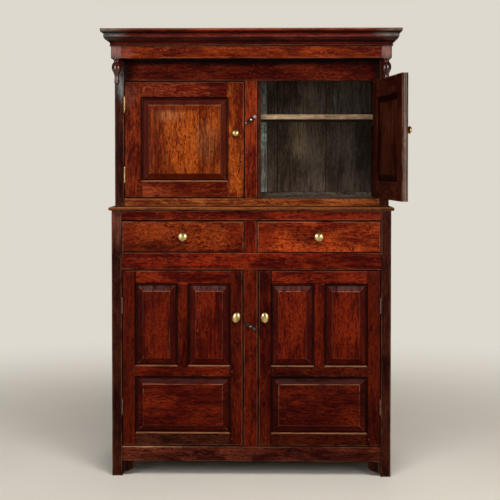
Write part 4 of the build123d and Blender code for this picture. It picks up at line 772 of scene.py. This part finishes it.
def head_pattern():
    """One screw or nail head on every point, turned to where the point faces and rolled at random."""
    pattern = Pattern("heads", (("Places", "NodeSocketGeometry"), ("Head width", "NodeSocketFloat"),
                                ("Head rise", "NodeSocketFloat"), ("Sides", "NodeSocketInt"),
                                ("Slotted", "NodeSocketBool"), ("Seed", "NodeSocketInt"),
                                ("Finish", "NodeSocketMaterial")))
    given, node = pattern.given, pattern.node
    width, rise = given["Head width"], given["Head rise"]
    ball = node("GeometryNodeMeshUVSphere", {}, {"Segments": given["Sides"], "Rings": 6, "Radius": width * 0.5})
    head = node("GeometryNodeTransform", {}, {"Geometry": ball,
                                              "Scale": pattern.vector(1.0, 1.0, rise / (width * 0.5))})
    bar = node("GeometryNodeMeshCube", {}, {"Size": pattern.vector(width * 1.3, width * 0.17, rise)})
    bar = node("GeometryNodeTransform", {}, {"Geometry": bar, "Translation": pattern.vector(0.0, 0.0, rise)})
    cut = node("GeometryNodeMeshBoolean", {"operation": "DIFFERENCE"}, {"Mesh 1": head, "Mesh 2": bar})
    head = node("GeometryNodeSwitch", {"input_type": "GEOMETRY"}, {"Switch": given["Slotted"], "False": head,
                                                                   "True": cut})
    facing = node("GeometryNodeInputNamedAttribute", {"data_type": "FLOAT_VECTOR"}, {"Name": "facing"})
    turn = node("FunctionNodeAlignRotationToVector", {"axis": "Z"}, {"Vector": facing})
    roll = node("FunctionNodeRandomValue", {"data_type": "FLOAT"}, {2: 0.0, 3: 2 * math.pi, "Seed": given["Seed"]}, 1)
    roll = node("FunctionNodeAxisAngleToRotation", {}, {"Axis": (0.0, 0.0, 1.0), "Angle": roll})
    turn = node("FunctionNodeRotateRotation", {"rotation_space": "LOCAL"}, {"Rotation": turn, "Rotate By": roll})
    heads = node("GeometryNodeInstanceOnPoints", {}, {"Points": given["Places"], "Instance": head, "Rotation": turn})
    heads = node("GeometryNodeRealizeInstances", {}, {"Geometry": heads})
    heads = node("GeometryNodeSetMaterial", {}, {"Geometry": heads, "Material": given["Finish"]})
    pattern.end("NodeGroupOutput", heads, "Geometry")
    return pattern


def heads(name, body, places, finish, width, rise, sides, slotted):
    """Screw or nail heads as one piece of a body. places holds each one's middle and the way it faces."""
    mesh = bpy.data.meshes.new(name + "_places")
    mesh.from_pydata([middle for middle, _facing in places], [], [])
    mesh.attributes.new("facing", "FLOAT_VECTOR", "POINT").data.foreach_set(
        "vector", [number for _middle, facing in places for number in facing])
    carrier = put(name + "_places", mesh)
    pattern = head_pattern()
    modifier = carrier.modifiers.new("heads", "NODES")
    modifier.node_group = pattern.tree
    for label, value in (("Head width", width), ("Head rise", rise), ("Sides", sides), ("Slotted", slotted),
                         ("Seed", settings("cupboard_metal").nail_seed), ("Finish", finish_of(finish))):
        modifier[pattern.keys[label]] = value
    made = bpy.data.meshes.new_from_object(carrier.evaluated_get(bpy.context.evaluated_depsgraph_get()))
    carrier.modifiers.clear()
    bpy.data.objects.remove(carrier)
    if len(made.polygons) < len(places):
        raise RuntimeError(name + " has no heads")
    return placed(made, name, body=body)


def hinge_screws():
    """Three screws through every hinge leaf, in the doors' edges and in the case."""
    look = ("hinge_brass", settings("cupboard_metal").screw_size, SCREW_RISE, SCREW_SIDES, True)
    in_case = []
    for body in DOORS:
        pin = Vector(JOINTS[body + "_hinge"]["pos_m"])
        side = math.copysign(1.0, pin.x)
        stand = upright(body + "_hinges").inverted()
        in_door = []
        for points, _faces in solids_of(body + "_hinges"):
            low, high = corners_of(points)
            for rise in (-SCREW_PITCH, 0.0, SCREW_PITCH):
                level = (low.z + high.z) / 2 + rise
                leaf = Vector((pin.x - side * LEAF_FACE, pin.y + LEAF_MIDDLE, level))
                in_door.append((stand @ leaf, stand.to_3x3() @ Vector((side, 0.0, 0.0))))
                in_case.append((Vector((pin.x + side * LEAF_FACE, leaf.y, level)), (-side, 0.0, 0.0)))
        heads(body + "_hinge_screws", body, in_door, *look)
    heads("case_hinge_screws", "case", in_case, *look)


def nail_row(start, end, facing):
    """Nails from one point to another, evenly spaced."""
    start, end = Vector(start), Vector(end)
    count = max(2, round((end - start).length / settings("cupboard_metal").nail_spacing) + 1)
    return [(start.lerp(end, number / (count - 1)), facing) for number in range(count)]


def boards_of(*nodes):
    """The lowest and highest corners of each board of some nodes."""
    return [corners_of(points) for node in nodes for points, _faces in solids_of(node)]


def board_nails():
    """Nails through the back, top and floor boards into the rails they lie on."""
    inset, back, up = NAIL_INSET, (0.0, 1.0, 0.0), (0.0, 0.0, 1.0)
    places = []
    for node, levels in BACK_NAIL_LEVELS.items():
        for low, high in boards_of(node):
            for level in levels:
                places += nail_row((low.x + inset, high.y, level), (high.x - inset, high.y, level), back)
    for low, high in boards_of("canopy_boards"):
        if high.z - low.z >= THINNEST_TOP_BOARD:
            for x in (low.x + TOP_NAIL_INSET, high.x - TOP_NAIL_INSET):
                places += nail_row((x, low.y + inset, high.z), (x, high.y - inset, high.z), up)
    for low, high in boards_of("lower_floor_boards", "upper_floor_boards"):
        for y in (low.y + FLOOR_NAIL_FRONT, high.y - FLOOR_NAIL_BACK):
            places += nail_row((low.x + 2 * inset, y, high.z), (high.x - inset, y, high.z), up)
    heads("board_nails", "case", places, "nail_iron", settings("cupboard_metal").nail_size, NAIL_RISE, NAIL_SIDES,
          False)


# ---------------------------------------------------------------- pieces
# Each row: a node, its finish, a stain and its depth for each solid in turn, and where they aren't the usual ones the
# axis of the grain, how much the edges are rounded, how much the boards stray and how far they have swollen
CASE_FRAME = (
    ("lower_front_stiles", "frame_oak", [("umber", 0.52)]),
    ("lower_front_rails", "rail_oak", [("umber", 1.15), ("oxblood", 0.85), ("oxblood", 0.75)]),
    ("lower_muntins", "frame_oak", [("umber", 0.8), ("oxblood", 0.53), ("umber", 0.8), ("oxblood", 0.84)]),
    ("lower_rear_stiles", "frame_oak", [("umber", 0.9)]),
    ("lower_side_and_back_rails", "frame_oak", [("umber", 0.9)]),
    ("upper_front_stiles", "frame_oak", [("umber", 0.62)]),
    ("upper_front_rails", "top_rail_oak", [("tan", 1.05), ("oxblood", 0.76)]),
    ("upper_muntin", "frame_oak", [("umber", 1.1), ("red_oak", 0.9), ("umber", 1.1)]),
    ("upper_rear_stiles", "frame_oak", [("umber", 0.9)]),
    # the back muntin's pale stain is a painted bluish sheen
    ("upper_side_and_back_rails", "side_oak", [("grey_board", 0.8), ("umber", 0.9), ("umber", 0.9),
                                               ("weathered", 2.4), ("umber", 0.9), ("umber", 0.9),
                                               ("grey_board", 0.8)]),
    # the foot brackets' dark stain is painted shade beneath the bottom rail
    ("foot_brackets", "frame_oak", [("umber", 0.25)]),
)
CASE_BOARDS = (
    ("ledge_boards", "ledge_oak", [("tan", 0.49)]),
    ("lower_side_panels", "frame_oak", [("umber", 1.0)]),
    ("upper_side_panels", "frame_oak", [("umber", 1.0)]),
    ("lower_back_boards", "dry_oak", [("grey_board", 0.9), ("grey_board", 0.75), ("grey_board", 1.0)], "z", 0.3, 1.0,
     BOARD_SWELL),
    ("upper_back_boards", "dry_oak", [("grey_board", 0.75), ("grey_board", 0.7), ("grey_board", 0.72),
                                      ("grey_board", 0.8), ("grey_board", 0.6)], "z", 0.3, 1.0, BOARD_SWELL),
    ("lower_floor_boards", "dry_oak", [("grey_board", 0.8)]),
    ("upper_floor_boards", "dry_oak", [("grey_board", 0.8)]),
    ("upper_shelf", "shelf_oak", [("pale_board", 0.8)]),
    ("shelf_bearers", "dry_oak", [("grey_board", 0.9)]),
    ("drawer_runners", "dry_oak", [("grey_board", 0.8)]),
)
CANOPY = (
    ("canopy_frieze", "frieze_oak", [("umber", 1.0), ("red_oak", 0.62), ("umber", 1.0)]),
    ("canopy_posts", "turned_oak", [("oxblood", 0.36)], "z", 0.0, 0.0),
    ("cornice", "cornice_oak", [("oxblood", 0.72)]),
    ("canopy_boards", "dry_oak", [("umber", 0.8), ("grey_board", 0.85), ("grey_board", 0.75), ("grey_board", 0.9)]),
)
UPPER_DOORS = (
    ("upper_left_door_stiles", "rail_oak", [("red_oak", 0.5), ("chestnut", 0.55), ("red_oak", 0.6),
                                            ("chestnut", 0.65), ("red_oak", 0.5), ("chestnut", 0.55)]),
    ("upper_left_door_rails", "flecked_oak", [("red_oak", 0.74), ("oxblood", 0.70)]),
    ("upper_left_door_panel", "shaded_panel_oak", [("chestnut", 0.60)], "z"),
    ("upper_right_door_stiles", "open_door_oak",
     [("umber", 0.7)] * 2 + [("umber", 0.85)] * 2 + [("umber", 0.7)] * 2),
    ("upper_right_door_rails", "rail_oak", [("umber", 0.85)]),
    ("upper_right_door_panel", "shaded_panel_oak", [("umber", 0.85)], "z"),
)
LOWER_DOORS = (
    ("lower_left_door_stiles", "frame_oak",
     [("oxblood", 0.4)] * 4 + [("oxblood", 0.40), ("oxblood", 0.43)] + [("oxblood", 0.4)] * 2),
    ("lower_left_door_rails", "rail_oak", [("umber", 0.52), ("oxblood", 0.68), ("oxblood", 0.8)]),
    ("lower_left_door_muntin", "frame_oak", [("oxblood", 0.5)]),
    ("lower_left_door_upper_panels", "panel_oak", [("oxblood", 0.60), ("oxblood", 0.66)], "z"),
    ("lower_left_door_lower_panel", "low_panel_oak", [("oxblood", 0.6)], "x"),
    ("lower_right_door_stiles", "frame_oak",
     [("oxblood", 0.4)] * 4 + [("oxblood", 0.42), ("oxblood", 0.38)] + [("oxblood", 0.4)] * 2),
    ("lower_right_door_rails", "rail_oak", [("oxblood", 0.20), ("oxblood", 0.31), ("oxblood", 0.80)]),
    ("lower_right_door_muntin", "frame_oak", [("oxblood", 0.64)]),
    ("lower_right_door_upper_panels", "panel_oak", [("oxblood", 0.66), ("oxblood", 0.7)], "z"),
    ("lower_right_door_lower_panel", "low_panel_oak", [("oxblood", 0.5)], "x"),
)
DRAWERS = (
    ("left_drawer_front", "figured_oak", [("red_oak", 0.5)], "x"),
    ("right_drawer_front", "figured_oak", [("red_oak", 0.92)], "x"),
    ("left_drawer_box", "dry_oak", [("pale_board", 0.8)]),
    ("right_drawer_box", "dry_oak", [("pale_board", 0.8)]),
)
PEGS = (("joint_pegs", "frame_oak", [("umber", 0.75)], "", 0.3, 0.0),)
BARE = [("umber", 1.0)]
KNOBS = tuple((name + "_knob", "brass", BARE, "y", 0.0, 0.0) for name in (*DOORS, "left_drawer", "right_drawer"))
FITTINGS = tuple((name, "hinge_brass", BARE, "", 0.0, 0.0)
                 for name in ("case_hinge_leaves", *(door + "_hinges" for door in DOORS))) + (
    ("upper_turn_button", "upper_iron", BARE, "", 0.8, 0.0),
    ("lower_turn_button", "lower_iron", BARE, "", 0.8, 0.0),
    ("turn_button_screws", "screw_steel", BARE, "", 0.0, 0.0),
)


def dress_all(rows):
    """Dresses every row of a table of pieces."""
    for row in rows:
        dress(*row)


class CUPBOARD_OT_case_frame(bpy.types.Operator):
    """Stiles, rails and muntins of both halves of the case"""

    bl_idname = "cupboard.case_frame"
    bl_label = "Case frame"

    def execute(self, context):
        dress_all(CASE_FRAME)
        return {"FINISHED"}


class CUPBOARD_OT_case_boards(bpy.types.Operator):
    """Ledge, panels, back, floors, shelf and drawer runners"""

    bl_idname = "cupboard.case_boards"
    bl_label = "Case boards"

    def execute(self, context):
        dress_all(CASE_BOARDS)
        return {"FINISHED"}


class CUPBOARD_OT_canopy(bpy.types.Operator):
    """Frieze, cornice, pendants and top boards"""

    bl_idname = "cupboard.canopy"
    bl_label = "Canopy"

    def execute(self, context):
        dress_all(CANOPY)
        return {"FINISHED"}


class CUPBOARD_OT_upper_doors(bpy.types.Operator):
    """Both upper doors, each a frame round one raised panel"""

    bl_idname = "cupboard.upper_doors"
    bl_label = "Upper doors"

    def execute(self, context):
        dress_all(UPPER_DOORS)
        return {"FINISHED"}


class CUPBOARD_OT_lower_doors(bpy.types.Operator):
    """Both lower doors, each a frame round three raised panels"""

    bl_idname = "cupboard.lower_doors"
    bl_label = "Lower doors"

    def execute(self, context):
        dress_all(LOWER_DOORS)
        return {"FINISHED"}


class CUPBOARD_OT_drawers(bpy.types.Operator):
    """Drawer fronts and boxes"""

    bl_idname = "cupboard.drawers"
    bl_label = "Drawers"

    def execute(self, context):
        dress_all(DRAWERS)
        return {"FINISHED"}


class CUPBOARD_OT_pegs(bpy.types.Operator):
    """The pegs that pin the case's joints"""

    bl_idname = "cupboard.pegs"
    bl_label = "Pegs"

    def execute(self, context):
        dress_all(PEGS)
        return {"FINISHED"}


class CUPBOARD_OT_knobs(bpy.types.Operator):
    """Door and drawer knobs"""

    bl_idname = "cupboard.knobs"
    bl_label = "Knobs"

    def execute(self, context):
        dress_all(KNOBS)
        return {"FINISHED"}


class CUPBOARD_OT_fittings(bpy.types.Operator):
    """Hinges, turn buttons and their screws"""

    bl_idname = "cupboard.fittings"
    bl_label = "Hinges and turn buttons"

    def execute(self, context):
        dress_all(FITTINGS)
        return {"FINISHED"}


class CUPBOARD_OT_screws(bpy.types.Operator):
    """The screws that hold the hinge leaves"""

    bl_idname = "cupboard.screws"
    bl_label = "Hinge screws"

    def execute(self, context):
        hinge_screws()
        return {"FINISHED"}


class CUPBOARD_OT_nails(bpy.types.Operator):
    """The nails of the back, top and floor boards"""

    bl_idname = "cupboard.nails"
    bl_label = "Board nails"

    def execute(self, context):
        board_nails()
        return {"FINISHED"}


# ---------------------------------------------------------------- stage
CAMERA_PLACE = (0.0909, -4.9839, 1.250)
SENSOR_WIDTH = 36.0
WARM, COOL = (1.0, 0.98, 0.94), (0.95, 0.97, 1.0)
# Each light's name, place, target, width, height, setting for its power, tint, and what it shows in
LIGHTS = (
    ("sky", (0.4, -2.5, 3.7), (0.0, -0.2, 0.8), 2.4, 1.6, "sky_power", WARM, "colour"),
    ("back", (0.3, 3.6, 2.6), (0.0, 0.2, 0.9), 2.4, 1.6, "back_power", WARM, "colour"),
    ("side", (-1.6, -3.5, 1.75), (0.0, -0.2, 1.0), 0.9, 1.7, "side_power", COOL, "colour"),
    ("shine", (-2.1, -2.9, 1.7), (0.0, -0.2, 1.1), 0.9, 1.5, "shine_power", COOL, "gloss"),
    ("side", (1.6, -3.5, 1.75), (0.0, -0.2, 1.0), 0.9, 1.7, "side_power", WARM, "colour"),
    ("shine", (2.1, -2.9, 1.7), (0.0, -0.2, 1.1), 0.9, 1.5, "shine_power", WARM, "gloss"),
)
FLOOR_HALF = 9.0
FADE_START, FADE_END = 1.0, 3.6      # how far out the floor starts to fade into the background, and has faded


def area_light(name, place, target, width, height, power, colour, shows_in):
    """A soft light that looks at a point, and shows in the colour or in the gloss of what it lights."""
    lamp = bpy.data.lights.new(name, "AREA")
    lamp.shape = "RECTANGLE"
    lamp.size, lamp.size_y = width, height
    lamp.energy = power
    lamp.color = colour
    holder = put(name, lamp)
    holder.location = place
    holder.rotation_euler = (Vector(target) - Vector(place)).to_track_quat("-Z", "Y").to_euler()
    holder.visible_glossy = shows_in == "gloss"
    holder.visible_diffuse = shows_in == "colour"


def pale_world(stage):
    """A pale background for the camera and for gloss, and a plain light from all round."""
    world = bpy.data.worlds.new("room")
    bpy.context.scene.world = world
    world.use_nodes = True
    tree = Tree(world.node_tree)
    seen = tree.ray("Camera").high(tree.ray("Transmission"))
    strength = stage.room_light + tree.ray("Glossy") * (stage.gloss_light - stage.room_light)
    strength = strength + seen * (1 - strength)
    tree.end("ShaderNodeOutputWorld", tree.node("ShaderNodeBackground", {}, {
        "Color": (*stage.backdrop, 1.0), "Strength": strength}))


def pale_floor(stage):
    """A wide plain floor that fades into the background."""
    bm = bmesh.new()
    bmesh.ops.create_grid(bm, x_segments=2, y_segments=2, size=FLOOR_HALF)
    mesh = bpy.data.meshes.new("floor")
    bm.to_mesh(mesh)
    bm.free()
    paint = Paint("pale_floor")
    place = paint.place()
    colour = paint.blend(paint.clouds(place * 3.0, 3.0), stage.floor_colour, [c * 0.96 for c in stage.floor_colour])
    lit = paint.node("ShaderNodeBsdfPrincipled", {}, {"Base Color": colour, "Roughness": 0.8})
    plain = paint.node("ShaderNodeEmission", {}, {"Color": (*stage.backdrop, 1.0), "Strength": 1.0})
    seen = paint.ray("Camera").high(paint.ray("Glossy")).high(paint.ray("Transmission"))
    faded = place.length().ease(FADE_START, FADE_END) * seen
    paint.end("ShaderNodeOutputMaterial", paint.node("ShaderNodeMixShader", {}, {0: faded, 1: lit, 2: plain}))
    mesh.materials.append(paint.material)
    put("floor", mesh)


class CUPBOARD_OT_stage(bpy.types.Operator):
    """Floor, lights and camera"""

    bl_idname = "cupboard.stage"
    bl_label = "Stage"

    def execute(self, context):
        stage = settings("cupboard_stage")
        pale_world(stage)
        pale_floor(stage)
        for name, place, target, width, height, setting, tint, shows_in in LIGHTS:
            area_light(name, place, target, width, height, getattr(stage, setting), tint, shows_in)
        camera = bpy.data.cameras.new("camera")
        camera.sensor_width = SENSOR_WIDTH
        camera.lens = stage.lens
        camera.shift_y = stage.frame_rise
        holder = put("camera", camera)
        holder.location = CAMERA_PLACE
        holder.rotation_euler = (math.pi / 2 - stage.tilt, 0.0, stage.turn)
        context.scene.camera = holder
        context.scene.view_settings.view_transform = "Standard"
        return {"FINISHED"}


# ---------------------------------------------------------------- add-on
GROUPS = {"cupboard_stains": CupboardStains, "cupboard_surface": CupboardSurface, "cupboard_metal": CupboardMetal,
          "cupboard_stage": CupboardStage}
STEPS = (CUPBOARD_OT_stage, CUPBOARD_OT_case_frame, CUPBOARD_OT_case_boards, CUPBOARD_OT_canopy,
         CUPBOARD_OT_upper_doors, CUPBOARD_OT_lower_doors, CUPBOARD_OT_drawers, CUPBOARD_OT_pegs, CUPBOARD_OT_knobs,
         CUPBOARD_OT_fittings, CUPBOARD_OT_screws, CUPBOARD_OT_nails)


class CUPBOARD_PT_panel(bpy.types.Panel):
    """Lists the cupboard's settings and the steps that build it"""

    bl_label = "Court Cupboard"
    bl_idname = "CUPBOARD_PT_panel"
    bl_space_type = "VIEW_3D"
    bl_region_type = "UI"
    bl_category = "Cupboard"

    def draw(self, context):
        for group in GROUPS:
            box = self.layout.box()
            held = getattr(context.scene, group)
            for name in held.__annotations__:
                box.prop(held, name)
        for step in STEPS:
            self.layout.operator(step.bl_idname)


def register():
    for group in GROUPS.values():
        bpy.utils.register_class(group)
    for name, group in GROUPS.items():
        setattr(bpy.types.Scene, name, PointerProperty(type=group))
    for step in STEPS:
        bpy.utils.register_class(step)
    bpy.utils.register_class(CUPBOARD_PT_panel)


def unregister():
    bpy.utils.unregister_class(CUPBOARD_PT_panel)
    for step in reversed(STEPS):
        bpy.utils.unregister_class(step)
    for name in GROUPS:
        delattr(bpy.types.Scene, name)
    for group in reversed(GROUPS.values()):
        bpy.utils.unregister_class(group)


def main():
    """Builds everything in order."""
    register()
    for step in STEPS:
        area, name = step.bl_idname.split(".")
        getattr(getattr(bpy.ops, area), name)()


if __name__ == "__main__":
    main()
